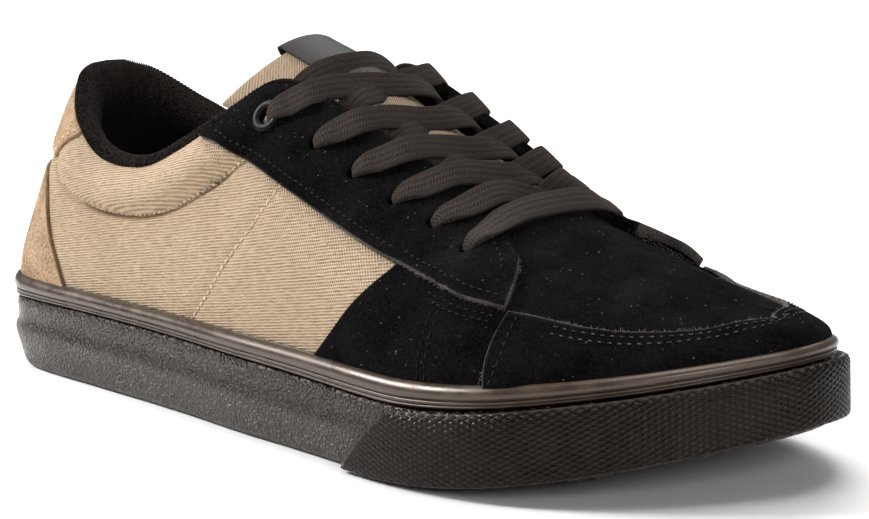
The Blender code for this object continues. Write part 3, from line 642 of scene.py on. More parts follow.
def suedeFinish(name, dark, light, edgeTone, lintTone, lintShare, fibre, sheen, sheenTint):
    material, tree, shader = newFinish(name, roughness=0.95, specular=0.02, sheen=sheen, sheenTint=sheenTint)
    nap = useGroup(tree, suedeNap, {"Place": objectPlace(tree), "Fibre": fibre})
    blend = maths(tree, "MULTIPLY_ADD", nap["Patch"], 0.35, maths(tree, "MULTIPLY", nap["Height"], 0.50))
    colour = graded(tree, blend, 0.46, 0.70, dark, light)
    torn = maths(tree, "MULTIPLY", edgeOrShadeMark(tree), ranged(tree, nap["Height"], 0.42, 0.95, 0.04, 1.0))
    ragged = maths(tree, "MULTIPLY", torn, ranged(tree, nap["Patch"], 0.38, 0.62, 0.35, 1.0))
    colour = mixed(tree, ragged, colour, edgeTone)
    colour = mixed(tree, maths(tree, "MULTIPLY", nap["Lint"], lintShare), colour, lintTone)
    coloured(tree, shader, colour)
    tree.links.new(ranged(tree, nap["Patch"], 0.3, 0.7, 0.98, 0.82), shader.inputs["Roughness"])
    bumped(tree, shader, nap["Height"], 0.00028)
    return material


# tones of the rubber's gleam, of the painted shade in the pits between its pebbles and of the painted shade
# in the knurl's valleys
rubberForm = {
    "gleam": tone(255, 236, 222), "pitShade": tone(8, 7, 7), "valleyShade": tone(5, 4, 4), "valleyShadeShare": 0.97,
}


def rubberFinish(name, dark, light, roughness, pebbles, depth, specular, pitShadeShare):
    material, tree, shader = newFinish(name, roughness, specular)
    shader.inputs["Specular Tint"].default_value = rubberForm["gleam"]
    skin = useGroup(tree, pebbleSkin, {"Place": objectPlace(tree), "Pebbles": pebbles})
    colour = graded(tree, skin["Scuff"], 0.42, 0.72, dark, light)
    # painted shade: the pits between the pebbles are darkened in the colour
    pitShading = ranged(tree, skin["Height"], 0.36, 0.86, pitShadeShare, 0.0)
    colour = mixed(tree, pitShading, colour, rubberForm["pitShade"])
    # painted shade: the knurl's valleys, marked in the edge attribute, are darkened in the colour
    valleyShade = maths(tree, "MULTIPLY", edgeOrShadeMark(tree), rubberForm["valleyShadeShare"])
    colour = mixed(tree, valleyShade, colour, rubberForm["valleyShade"])
    coloured(tree, shader, colour)
    rough = ranged(tree, skin["Scuff"], 0.35, 0.7, roughness - 0.06, roughness + 0.12)
    tree.links.new(rough, shader.inputs["Roughness"])
    bumped(tree, shader, skin["Height"], depth)
    return material


braidForm = {
    # dark and light: tones of the braid's valleys and yarn tops, painted shade and painted highlight
    "pitch": 0.00085, "lane": 0.00075, "relief": 0.00028, "dark": tone(15, 13, 12), "light": tone(58, 50, 46),
    "roughness": 0.85, "specular": 0.12, "sheen": 0.03, "sheenTint": tone(190, 165, 150),
}


def laceFinish():
    surface = [braidForm[key] for key in ("roughness", "specular", "sheen", "sheenTint")]
    material, tree, shader = newFinish("laceBraid", *surface)
    inputs = {"Place": clothPlace(tree), "Pitch": braidForm["pitch"], "Lane": braidForm["lane"]}
    weave = useGroup(tree, braidWeave, inputs)
    # painted shade and highlight: darker in the braid's valleys, lighter on its yarns
    coloured(tree, shader, graded(tree, weave["Height"], -0.25, 0.75, braidForm["dark"], braidForm["light"]))
    bumped(tree, shader, weave["Height"], braidForm["relief"])
    return material


def meshFinish(name, dark, light, scale):
    # black spacer mesh: rows of small knitted cells, with painted highlight in their middles and painted
    # shade at their borders
    material, tree, shader = newFinish(name, roughness=0.9, specular=0.05)
    place = put(tree, "ShaderNodeMapping", {"Vector": clothPlace(tree), "Scale": (1.0, 1.6, 1.0)}).outputs[0]
    inputs = {"Vector": place, "Scale": scale}
    cells = put(tree, "ShaderNodeTexVoronoi", inputs, feature="SMOOTH_F1").outputs[0]
    coloured(tree, shader, graded(tree, cells, 0.2, 0.65, light, dark))
    bumped(tree, shader, maths(tree, "SUBTRACT", 1.0, cells), 0.00035)
    return material


def threadFinish(name, dark, light):
    material, tree, shader = newFinish(name, roughness=0.8, specular=0.15)
    twist = noise(tree, objectPlace(tree), 1800.0, 2.0)
    coloured(tree, shader, graded(tree, twist, 0.35, 0.65, dark, light))
    bumped(tree, shader, twist, 0.0002)
    return material


satinForm = {"ribs": 2000.0, "relief": 0.00012, "dark": tone(20, 18, 17), "light": tone(38, 34, 31)}


def labelFinish():
    # plain satin ribbon with a fine cross rib
    material, tree, shader = newFinish("labelSatin", roughness=0.55, specular=0.3)
    parts = put(tree, "ShaderNodeSeparateXYZ", {0: clothPlace(tree)}).outputs
    rib = wave(tree, "SINE", maths(tree, "MULTIPLY", parts["X"], satinForm["ribs"]))
    grain = noise(tree, clothPlace(tree), 1500.0, 2.0)
    coloured(tree, shader, graded(tree, grain, 0.35, 0.7, satinForm["dark"], satinForm["light"]))
    bumped(tree, shader, maths(tree, "MULTIPLY_ADD", rib, 0.5, grain), satinForm["relief"])
    return material


enamelForm = {"dark": tone(6, 6, 6), "worn": tone(22, 20, 19)}


def ringFinish():
    material, tree, shader = newFinish("eyeletEnamel", roughness=0.45, specular=0.12)
    wear = noise(tree, objectPlace(tree), 900.0, 3.0)
    coloured(tree, shader, graded(tree, wear, 0.5, 0.8, enamelForm["dark"], enamelForm["worn"]))
    tree.links.new(ranged(tree, wear, 0.3, 0.7, 0.40, 0.55), shader.inputs["Roughness"])
    return material


quarterTwill = twillFinish("quarterTwill", slant=-0.15, shade=0.97)
tongueTwill = twillFinish("tongueTwill", slant=0.55, shade=0.78)
blackSuede = suedeFinish(
    "blackSuede", tone(3, 3, 3), tone(23, 21, 21), edgeTone=tone(112, 107, 102), lintTone=tone(112, 107, 100),
    lintShare=0.7, fibre=3000.0, sheen=0.0, sheenTint=tone(180, 176, 176),
)
tanSuede = suedeFinish(
    "tanSuede", tone(118, 94, 72), tone(187, 160, 132), edgeTone=tone(84, 62, 44), lintTone=tone(120, 92, 66),
    lintShare=0.4, fibre=2200.0, sheen=0.03, sheenTint=tone(255, 232, 200),
)
outsoleRubber = rubberFinish(
    "outsoleRubber", tone(60, 52, 46), tone(84, 74, 66), roughness=0.30,
    pebbles=1000.0, depth=0.0007, specular=0.45, pitShadeShare=0.95,
)
bandRubber = rubberFinish(
    "bandRubber", tone(56, 47, 40), tone(70, 59, 50), roughness=0.31,
    pebbles=3000.0, depth=0.00001, specular=0.6, pitShadeShare=0.0,
)
bumperRubber = rubberFinish(
    "bumperRubber", tone(54, 49, 46), tone(76, 69, 64), roughness=0.27,
    pebbles=2600.0, depth=0.00003, specular=0.14, pitShadeShare=0.0,
)
laceBraid = laceFinish()
collarMesh = meshFinish("collarMesh", tone(11, 10, 9), tone(42, 36, 33), scale=1500.0)
liningMesh = meshFinish("liningMesh", tone(9, 8, 7), tone(34, 30, 28), scale=900.0)
insoleCloth = meshFinish("insoleCloth", tone(16, 15, 15), tone(44, 42, 41), scale=800.0)
blackThread = threadFinish("blackThread", tone(9, 9, 9), tone(36, 34, 33))
greyThread = threadFinish("greyThread", tone(20, 19, 19), tone(92, 88, 84))
tanThread = threadFinish("tanThread", tone(190, 164, 132), tone(232, 212, 184))
greyFibre = threadFinish("greyFibre", tone(84, 80, 77), tone(168, 162, 155))
brownFibre = threadFinish("brownFibre", tone(70, 50, 36), tone(120, 92, 68))
labelSatin = labelFinish()
eyeletEnamel = ringFinish()
print("materials: made")


# Sheets of the upper

# places of a panel that are measured first, along and across, and steps over the round of an edge
sheetForm = {"measured": (81, 21), "roundSteps": (0, 0.08, 0.3, 0.62)}


def edgeSpread(total, rim, count):
    # places across a sheet, close together over the round of each edge
    total = np.asarray(total, float)[..., None]
    near = rim * np.array(sheetForm["roundSteps"])
    inside = rim + (total - 2 * rim) * np.linspace(0, 1, count)
    return np.concatenate([near + 0 * total, inside, total - near[::-1]], -1)


def ribGrid(ribs, rows, columns, rim):
    # places on a panel given by ribs (low, middle and high end of each), with the distance to its four edges
    ribs = np.asarray(ribs, float)
    table = np.column_stack([np.arange(len(ribs)), ribs])

    def placeAt(p, s):
        low, mid, high = [stack(curveThrough(table, k, p), curveThrough(table, k + 1, p)) for k in (1, 3, 5)]
        s = np.asarray(s)[..., None]
        return low * (1 - s) * (1 - 2 * s) + mid * 4 * s * (1 - s) + high * s * (2 * s - 1)

    alongCount, acrossCount = sheetForm["measured"]
    p = np.linspace(0, len(ribs) - 1, alongCount)
    share = np.linspace(0, 1, acrossCount)
    coarse = placeAt(p[:, None] + 0 * share, share + 0 * p[:, None])
    points = upperAt(coarse[..., 0], coarse[..., 1])
    across = np.linalg.norm(np.diff(points, axis=1), axis=-1).sum(1)
    along = runningLength(points[:, len(share) // 2])
    alongPlaces = edgeSpread(along[-1], rim, rows)
    rowP = np.interp(alongPlaces, along, p)
    rowAcross = np.interp(rowP, p, across)
    acrossPlaces = edgeSpread(rowAcross, rim, columns)
    places = placeAt(rowP[:, None] + 0 * acrossPlaces, acrossPlaces / rowAcross[:, None])
    rear = alongPlaces[:, None] + 0 * acrossPlaces
    high = rowAcross[:, None] - acrossPlaces
    return places, {"rear": rear, "front": along[-1] - rear, "low": acrossPlaces, "high": high}


def uprightRibs(edge, other, count):
    edge = np.asarray(edge, float)
    arounds = np.linspace(edge[0, 0], edge[-1, 0], count)
    ups = curveThrough(edge, 1, arounds)
    low, high = np.minimum(ups, other), np.maximum(ups, other)
    return np.stack([arounds, low, arounds, (low + high) / 2, arounds, high], -1)


def roundedLift(apart, thickness, rim):
    k = np.clip(1 - apart / rim, 0, 1)
    return thickness - rim * (1 - np.sqrt(1 - k * k))


def punched(outer, inner, base, holes, radius):
    # opens round holes in both layers of a sheet, and says which faces stay
    keep = np.ones((base.shape[0] - 1, base.shape[1] - 1), bool)
    for around, up in holes:
        centre = upperAt(around, up)
        apart = np.linalg.norm(base - centre, axis=-1)
        mean = (apart[:-1, :-1] + apart[1:, :-1] + apart[:-1, 1:] + apart[1:, 1:]) / 4
        gone = mean < radius
        keep &= ~gone
        framed = np.pad(gone, 1)
        corners = [framed[:-1, :-1], framed[1:, :-1], framed[:-1, 1:], framed[1:, 1:]]
        rimPoints = np.logical_or.reduce(corners) & ~np.logical_and.reduce(corners)
        normal = normalAt(around, up)
        for layer in (outer, inner):
            spoke = layer[rimPoints] - centre
            depth = spoke @ normal
            flatSpoke = spoke - depth[:, None] * normal
            layer[rimPoints] = centre + unit(flatSpoke) * radius + depth[:, None] * normal
    return keep


panels = {
    "eyestayThickness": 0.0018, "panelThickness": 0.0012, "guardThickness": 0.0016,
    "counterThickness": 0.0012, "tabThickness": 0.0012, "bed": -0.0002, "rim": 0.0005, "rawWidth": 0.0006,
    "holeRadius": 0.0023, "holeDip": 0.00035, "holeDipWidth": 0.0007, "uprightCount": 61,
    # lap: how far a panel stands up where it lies on another
    # flap: the loose front corner of the inner eyestay
    "lap": 0.0008, "lapUnder": 0.8, "stayLapTurns": (0.600, 0.622), "stayLapWidth": (0.004, 0.022),
    "guardLapTurns": (0.728, 0.748), "flap": 0.0024, "flapTurns": (0.640, 0.690), "flapWidth": (0.030, 0.012),
    "stayDepth": -0.0016, "stayDepthWidth": (0.012, 0.024),
    # rows and columns of each
    "stayGrid": (170, 56), "panelGrid": (90, 70), "guardGrid": (300, 34), "counterGrid": (170, 60),
    "tabGrid": (150, 40),
    # low around, low up, middle around, middle up, high around, high up
    "eyestay": (
        (0.4270, 0.955, 0.4280, 0.973, 0.4290, 0.992), (0.4500, 0.860, 0.4500, 0.925, 0.4500, 0.992),
        (0.4740, 0.754, 0.4735, 0.872, 0.4730, 0.992), (0.5120, 0.691, 0.5100, 0.841, 0.5080, 0.992),
        (0.5580, 0.662, 0.5540, 0.826, 0.5500, 0.992), (0.6140, 0.630, 0.6070, 0.808, 0.6000, 0.987),
        (0.6440, 0.584, 0.6410, 0.756, 0.6340, 0.937), (0.6570, 0.546, 0.6555, 0.710, 0.6455, 0.886),
        (0.6690, 0.534, 0.6670, 0.676, 0.6560, 0.832), (0.6960, 0.531, 0.6880, 0.666, 0.6720, 0.788),
        (0.7080, 0.530, 0.6990, 0.645, 0.6850, 0.747),
    ),
    "sidePanel": (
        (0.5470, 0.150, 0.5840, 0.335, 0.6150, 0.640), (0.6000, 0.150, 0.6300, 0.370, 0.6460, 0.600),
        (0.6550, 0.150, 0.6800, 0.355, 0.6860, 0.570), (0.7260, 0.150, 0.7320, 0.365, 0.7270, 0.560),
    ),
    "toeGuard": (
        (0.711, 0.526), (0.750, 0.540), (0.774, 0.527), (0.798, 0.518), (0.822, 0.530), (0.854, 0.572),
        (0.873, 0.600), (0.906, 0.670), (0.945, 0.740), (1.000, 0.770), (1.045, 0.730), (1.100, 0.620),
        (1.176, 0.490), (1.250, 0.505), (1.289, 0.526),
    ),
    "counter": (
        (-0.249, 0.173), (-0.238, 0.310), (-0.219, 0.432), (-0.195, 0.540), (-0.160, 0.640), (-0.080, 0.664),
        (0.000, 0.668), (0.080, 0.664), (0.160, 0.640), (0.195, 0.540), (0.219, 0.432), (0.238, 0.310),
        (0.249, 0.173),
    ),
    "heelTab": (
        (-0.218, 0.967), (-0.191, 0.866), (-0.168, 0.775), (-0.140, 0.750), (0.000, 0.745),
        (0.140, 0.750), (0.168, 0.775), (0.191, 0.866), (0.218, 0.967),
    ),
    "soleEdge": 0.15, "tabTop": 0.992,
}


def sheetOn(name, places, apart, thickness, bottom, raw=(), medial=False, holes=(), lap=0.0):
    # a panel with rounded edges on the upper's face
    turn, up = places[..., 0], places[..., 1]
    around = 2 - turn if medial else turn
    nearest = np.minimum.reduce(list(apart.values()))
    lift = roundedLift(nearest, thickness, panels["rim"]) + lap
    for hole in holes:
        gap = np.linalg.norm(upperAt(turn, up) - upperAt(*hole), axis=-1) - panels["holeRadius"]
        lift = lift - panels["holeDip"] * hump(np.maximum(gap, 0), panels["holeDipWidth"])
    outer = faceAt(around, up, lift)
    inner = faceAt(around, up, bottom)
    holes = [(2 - a if medial else a, u) for a, u in holes]
    keep = punched(outer, inner, upperAt(around, up), holes, panels["holeRadius"]) if holes else None
    edge = np.zeros(up.shape)
    for side in raw:
        edge = np.maximum(edge, 1 - ease(0.0, panels["rawWidth"], apart[side]))
    return closedSheet(name, outer, inner, clothMap(around, up), edge, keep, flip=medial)


def makeEyestays():
    places, apart = ribGrid(panels["eyestay"], *panels["stayGrid"], panels["rim"])
    turn = places[..., 0]
    lowShare = 1 - ease(*panels["stayLapWidth"], apart["low"])
    lap = panels["lap"] * ease(*panels["stayLapTurns"], turn) * lowShare
    flap = panels["flap"] * ease(*panels["flapTurns"], turn) * ease(*panels["flapWidth"], apart["high"])
    bottom = panels["stayDepth"] * ease(*panels["stayDepthWidth"], apart["low"]) + panels["bed"]
    for side in ("lateral", "medial"):
        raised = lap + (flap if side == "medial" else 0.0)
        stay = sheetOn(
            "eyestay_" + side + "_suede", places, apart, panels["eyestayThickness"],
            bottom + raised * panels["lapUnder"], ("low", "front"), side == "medial", eyelets, raised,
        )
        finishPiece(stay, blackSuede, "black_suede", "eyestay_" + side)


def makeSidePanels():
    places, apart = ribGrid(panels["sidePanel"], *panels["panelGrid"], panels["rim"])
    for side in ("lateral", "medial"):
        name = "side_panel_" + side
        panel = sheetOn(
            name + "_suede", places, apart, panels["panelThickness"], panels["bed"], ("rear",),
            medial=side == "medial",
        )
        finishPiece(panel, blackSuede, "black_suede", name)


def uprightGrid(edge, other, rows, columns):
    return ribGrid(uprightRibs(edge, other, panels["uprightCount"]), rows, columns, panels["rim"])


def makeToeGuard():
    places, apart = uprightGrid(panels["toeGuard"], panels["soleEdge"], *panels["guardGrid"])
    lap = panels["lap"] * (1 - ease(*panels["guardLapTurns"], sideAndTurn(places[..., 0])[1]))
    bottom = lap * panels["lapUnder"] + panels["bed"]
    guard = sheetOn(
        "toe_guard_suede", places, apart, panels["guardThickness"], bottom, ("high", "rear", "front"), lap=lap
    )
    finishPiece(guard, blackSuede, "black_suede", "toe_guard")


def makeHeel():
    places, apart = uprightGrid(panels["counter"], panels["soleEdge"], *panels["counterGrid"])
    raw = ("high", "rear", "front")
    counter = sheetOn("heel_counter_suede", places, apart, panels["counterThickness"], panels["bed"], raw)
    finishPiece(counter, tanSuede, "tan_suede", "heel_counter")
    places, apart = uprightGrid(panels["heelTab"], panels["tabTop"], *panels["tabGrid"])
    tab = sheetOn("heel_tab_suede", places, apart, panels["tabThickness"], panels["bed"])
    finishPiece(tab, tanSuede, "tan_suede", "heel_tab")


quarterForm = {
    "from": -0.625, "to": 0.625, "rows": 330, "columns": 76, "wall": 0.0010, "low": 0.12,
    # turn, up of its top edge, which runs under the eyestay
    "top": ((0.0, 0.995), (0.424, 0.995), (0.440, 0.950), (0.474, 0.790), (0.512, 0.728), (0.558, 0.698),
            (0.625, 0.660)),
}


def makeQuarters():
    around = np.linspace(quarterForm["from"], quarterForm["to"], quarterForm["rows"])[:, None]
    turn = sideAndTurn(around)[1]
    top = np.interp(turn, *np.array(quarterForm["top"]).T)
    up = quarterForm["low"] + (top - quarterForm["low"]) * np.linspace(0, 1, quarterForm["columns"])
    around = around + 0 * up
    outer = faceAt(around, up)
    inner = faceAt(around, up, -quarterForm["wall"])
    quarter = closedSheet("quarter_twill", outer, inner, clothMap(around, up))
    finishPiece(quarter, quarterTwill, "quarter_cloth", "upper")


def foldedGrid(turns, low, count, high=None):
    # rows from one side's foot over the top to the other's; the sides are one where they meet
    share = np.linspace(0, 1, count)
    high = 1 + 0 * turns if high is None else high
    up = low + (high - low)[:, None] * share
    around = np.concatenate([turns[:, None] + 0 * up, 2 - turns[:, None] + 0 * up], 1)
    up = np.concatenate([up, up[:, ::-1]], 1)
    rows, columns = up.shape
    weld = np.arange(rows * columns).reshape(rows, columns)
    close = 1e-9
    meets = turns >= lastForm["ridgeStart"] - close
    weld[meets, count] = weld[meets, count - 1]
    for row in np.flatnonzero((turns > 1 - close) | (turns < close)):
        weld[row, count:] = weld[row, count - 1::-1]
    keep = np.ones((rows - 1, columns - 1), bool)
    keep[:, count - 1] = False
    return around, up, weld.ravel(), keep


vampForm = {"from": 0.612, "low": 0.40, "rows": (34, 130), "columns": 64, "outer": 0.0002, "inner": -0.0010}


def turnsFrom(start, rows):
    # places on one side up to the toe, with one where the ridge starts
    ridge = lastForm["ridgeStart"]
    return np.concatenate([np.linspace(start, ridge, rows[0])[:-1], np.linspace(ridge, 1, rows[1])])


def makeVamp():
    turns = turnsFrom(vampForm["from"], vampForm["rows"])
    around, up, weld, keep = foldedGrid(turns, vampForm["low"], vampForm["columns"])
    outer = faceAt(around, up, vampForm["outer"])
    inner = faceAt(around, up, vampForm["inner"])
    holes = [eyelets[-1], (2 - eyelets[-1][0], eyelets[-1][1])]
    keep &= punched(outer, inner, upperAt(around, up), holes, panels["holeRadius"])
    vamp = closedSheet("vamp_suede", outer, inner, clothMap(around, up), None, keep, weld)
    finishPiece(vamp, blackSuede, "black_suede", "upper")


liningForm = {
    "low": 0.03, "rows": (90, 50), "columns": 34, "outer": -0.0040, "inner": -0.0050,
    # turn, up of its top edge, which is open at the throat and closed over the toes
    "top": ((0.0, 0.96), (0.40, 0.96), (0.46, 0.80), (0.51, 0.74), (0.60, 0.68), (0.66, 0.64), (0.6601, 1.0),
            (1.0, 1.0)),
}


def makeLining():
    turns = turnsFrom(0.0, liningForm["rows"])
    high = np.interp(turns, *np.array(liningForm["top"]).T)
    around, up, weld, keep = foldedGrid(turns, liningForm["low"], liningForm["columns"], high)
    outer = faceAt(around, up, liningForm["outer"], relieved=False)
    inner = faceAt(around, up, liningForm["inner"], relieved=False)
    lining = closedSheet("lining_mesh", outer, inner, clothMap(around, up), None, keep, weld)
    finishPiece(lining, liningMesh, "collar_mesh", "upper")


makeEyestays()
makeSidePanels()
makeToeGuard()
makeHeel()
makeQuarters()
makeVamp()
makeLining()
print("upper: quarters, vamp, lining and overlays")


# Collar: a mesh roll over the top edge, knitted in fine upright ribs, running on as piping
collarForm = {
    "end": 0.512, "ribPitch": 0.0013, "rib": 0.00024, "rows": 1250,
    # depths where its inner side ends and its outer one starts, share of the ribs inside,
    # place up that its highest points face like, rise from which ribs lift the top too
    "sideDepths": (0.0040, 0.0005), "insideRib": 0.25, "facingUp": 0.985, "topRise": 0.001,
    # towards the front the roll thins into piping, to these shares of its width, depth and rise
    "pipingTurns": (0.40, 0.470), "pipingUp": 0.16, "pipingDepth": 0.22, "pipingRise": 0.25,
    "pipingOut": 0.0012,
    # at the back the heel tab reaches the top, and the roll's outer side starts there
    "shortTurns": (0.30, 0.17), "shortUp": 0.75, "shortDepth": 0.35,
    # up, depth inside the upper's face (out is below 0), rise above that place
    "section": (
        (0.968, -0.0004, 0.0000), (0.974, -0.0011, 0.0000), (0.984, -0.0015, 0.0000),
        (0.994, -0.0014, 0.0006), (1.000, -0.0008, 0.0016), (1.000, 0.0010, 0.0026),
        (0.998, 0.0030, 0.0031), (0.995, 0.0052, 0.0028),
        (0.990, 0.0072, 0.0014), (0.972, 0.0086, 0.0000), (0.935, 0.0096, 0.0000), (0.880, 0.0100, 0.0000),
        (0.810, 0.0096, 0.0000), (0.740, 0.0084, 0.0000), (0.680, 0.0068, 0.0000), (0.640, 0.0056, 0.0000),
        (0.640, 0.0044, 0.0000), (0.760, 0.0042, 0.0000), (0.900, 0.0022, 0.0000),
    ),
}


def makeCollar():
    section = np.array(collarForm["section"])
    around = np.linspace(-collarForm["end"], collarForm["end"], collarForm["rows"])
    turn = np.abs(around)
    slim = ease(*collarForm["pipingTurns"], turn)[:, None]
    up, depth, rise = [section[None, :, k] for k in (0, 1, 2)]
    up = up * (1 - slim) + (1 - (1 - up) * collarForm["pipingUp"]) * slim
    depth = depth * (1 - slim) + (depth * collarForm["pipingDepth"] - collarForm["pipingOut"]) * slim
    rise = rise * (1 - slim) + rise * collarForm["pipingRise"] * slim
    inside, outside = collarForm["sideDepths"]
    short = ease(*collarForm["shortTurns"], turn)[:, None] * (section[None, :, 1] < outside)
    up = up + (1 - up) * collarForm["shortUp"] * short
    depth = depth * (1 - collarForm["shortDepth"] * short)
    arc = np.interp(turn, arcPlaces, arcTable)[:, None]
    ribShare = collarForm["insideRib"] + (1 - collarForm["insideRib"]) * ease(inside, outside, depth)
    ribs = collarForm["rib"] * np.sin(2 * np.pi * arc / collarForm["ribPitch"]) * ribShare
    normals = normalAt(around[:, None] + 0 * up, np.minimum(up, collarForm["facingUp"]))
    swell = np.where(section[None, :, 1] < inside, 1.0, -1.0)
    points = upperAt(around[:, None] + 0 * up, up) + normals * (-depth + ribs * swell)[..., None]
    points = points + stack(0.0, 0.0, rise + ribs * (rise > collarForm["topRise"]))
    flat = stack(arc * np.sign(around)[:, None] + 0 * up, runningLength(points[len(points) // 2]))
    collar = tubeObject("collar_roll", points, flat)
    finishPiece(collar, collarMesh, "collar_mesh", "collar_pad")


makeCollar()


# Tongue and its label
tongueForm = {
    "thickness": 0.0050, "round": 2.2, "crown": 0.0008, "crownRun": 0.02, "rows": 110, "columns": 60,
    # room for the rounds of its end and sides, and the weave's size along and across
    "endRound": 0.0025, "sideRound": 0.11, "weave": (1.5, 0.0345),
    # small steps for slopes, and the least swell left at an edge
    "probes": (0.001, 0.02), "leastSwell": 0.02,
    # crest along, crest height, half width, drop of the sides, sweep back
    "sections": (
        (0.124, 0.1055, 0.0225, 0.0170, 0.018), (0.136, 0.1005, 0.0235, 0.0162, 0.013),
        (0.152, 0.0914, 0.0240, 0.0145, 0.006), (0.172, 0.0812, 0.0235, 0.0120, 0.004),
        (0.195, 0.0706, 0.0225, 0.0100, 0.002), (0.215, 0.0600, 0.0190, 0.0085, 0.001),
        (0.228, 0.0525, 0.0150, 0.0060, 0.000),
    ),
}


def tongueAt(x, across):
    crest, half, drop, sweep = [curveThrough(tongueForm["sections"], k, x) for k in (1, 2, 3, 4)]
    z = crest - drop * np.abs(across) ** tongueForm["round"]
    return stack(x - sweep * across * across, middleAt(x) + half * across, z)


def tongueNormal(x, across):
    stepAlong, stepAside = tongueForm["probes"]
    along = tongueAt(x + stepAlong, across) - tongueAt(x - stepAlong, across)
    aside = tongueAt(x, across + stepAside) - tongueAt(x, across - stepAside)
    return unit(np.cross(along, aside))


def tongueCrown(x, across):
    first = tongueForm["sections"][0][0]
    return tongueForm["crown"] * (1 - across**2) * ease(0, tongueForm["crownRun"], x - first)


def makeTongue():
    first, last = tongueForm["sections"][0][0], tongueForm["sections"][-1][0]
    endRound, sideRound = tongueForm["endRound"], tongueForm["sideRound"]
    x = edgeSpread(last - first, endRound, tongueForm["rows"])[:, None] + first
    across = (edgeSpread(2.0, sideRound, tongueForm["columns"]) - 1)[None, :]
    x, across = x + 0 * across, across + 0 * x
    half = tongueForm["thickness"] / 2
    k = np.clip(1 - np.minimum((x - first) / endRound, (1 - np.abs(across)) / sideRound), 0, 1)
    swell = half * np.sqrt(np.maximum(1 - k * k, tongueForm["leastSwell"]))
    crown = tongueCrown(x, across)
    base, normal = tongueAt(x, across), tongueNormal(x, across)
    outer = base + normal * (swell - half + crown)[..., None]
    inner = base - normal * (swell + half)[..., None]
    flat = stack(x * tongueForm["weave"][0], across * tongueForm["weave"][1])
    tongue = closedSheet("tongue_padded", outer, inner, flat)
    finishPiece(tongue, tongueTwill, "tongue_cloth", "tongue")


labelForm = {
    "to": 0.150, "across": (-0.42, 0.66), "thickness": 0.0008, "gap": 0.0003, "under": 0.014,
    "rows": (20, 6, 40), "columns": 34, "weave": 0.0235, "probe": 0.002,
}


def makeLabel():
    # a ribbon folded over the tongue's top edge
    first = tongueForm["sections"][0][0]
    under, over, front = labelForm["rows"]
    behind = np.linspace(labelForm["under"], 0, under)
    along = np.concatenate([behind, np.zeros(over), np.linspace(0, labelForm["to"] - first, front)])
    bend = np.linspace(np.pi, 0, over + 2)[1:-1]
    fold = np.concatenate([np.full(under, np.pi), bend, np.zeros(front)])[:, None]
    across = np.linspace(*labelForm["across"], labelForm["columns"])[None, :]
    x = first + along[:, None] + 0 * across
    across = across + 0 * x
    half = tongueForm["thickness"] / 2
    base, normal = tongueAt(x, across), tongueNormal(x, across)
    backward = unit(tongueAt(x, across) - tongueAt(x + labelForm["probe"], across))
    crown = tongueCrown(x, across) * (np.cos(fold) > 0)

    def layer(extra):
        turned = normal * np.cos(fold)[..., None] + backward * np.sin(fold)[..., None]
        return base + normal * (crown - half)[..., None] + turned * (half + extra)

    outer = layer(labelForm["gap"] + labelForm["thickness"])
    inner = layer(labelForm["gap"])
    length = runningLength(outer[:, labelForm["columns"] // 2])
    flat = stack(length[:, None], across * labelForm["weave"])
    label = closedSheet("tongue_label_ribbon", outer, inner, flat)
    finishPiece(label, labelSatin, "label_cloth", "tongue_label")


makeTongue()
makeLabel()
print("collar, tongue and label")


# Rings of the top eyelets
ringForm = {"radius": 0.0036, "wire": 0.0012, "flatten": 0.62, "above": 0.0002, "steps": (56, 16)}


def makeRings():
    for side, around in (("lateral", eyelets[0][0]), ("medial", 2 - eyelets[0][0])):
        up = eyelets[0][1]
        normal = normalAt(around, up)
        centre = faceAt(around, up, panels["eyestayThickness"] + ringForm["above"])
        first = unit(np.cross(normal, (0, 0, 1.0)))
        second = np.cross(normal, first)
        big, small = [np.linspace(0, 2 * np.pi, count, endpoint=False) for count in ringForm["steps"]]
        big = big[:, None]
        spoke = first * np.cos(big)[..., None] + second * np.sin(big)[..., None]
        reach = ringForm["radius"] + ringForm["wire"] * np.cos(small)
        height = ringForm["wire"] * ringForm["flatten"] * np.sin(small) + 0 * big
        points = centre + spoke * reach[..., None] + normal * height[..., None]
        ring = tubeObject("eyelet_ring_" + side, points, None, closed=True)
        finishPiece(ring, eyeletEnamel, "eyelet_metal", "eyelet_" + side)


makeRings()


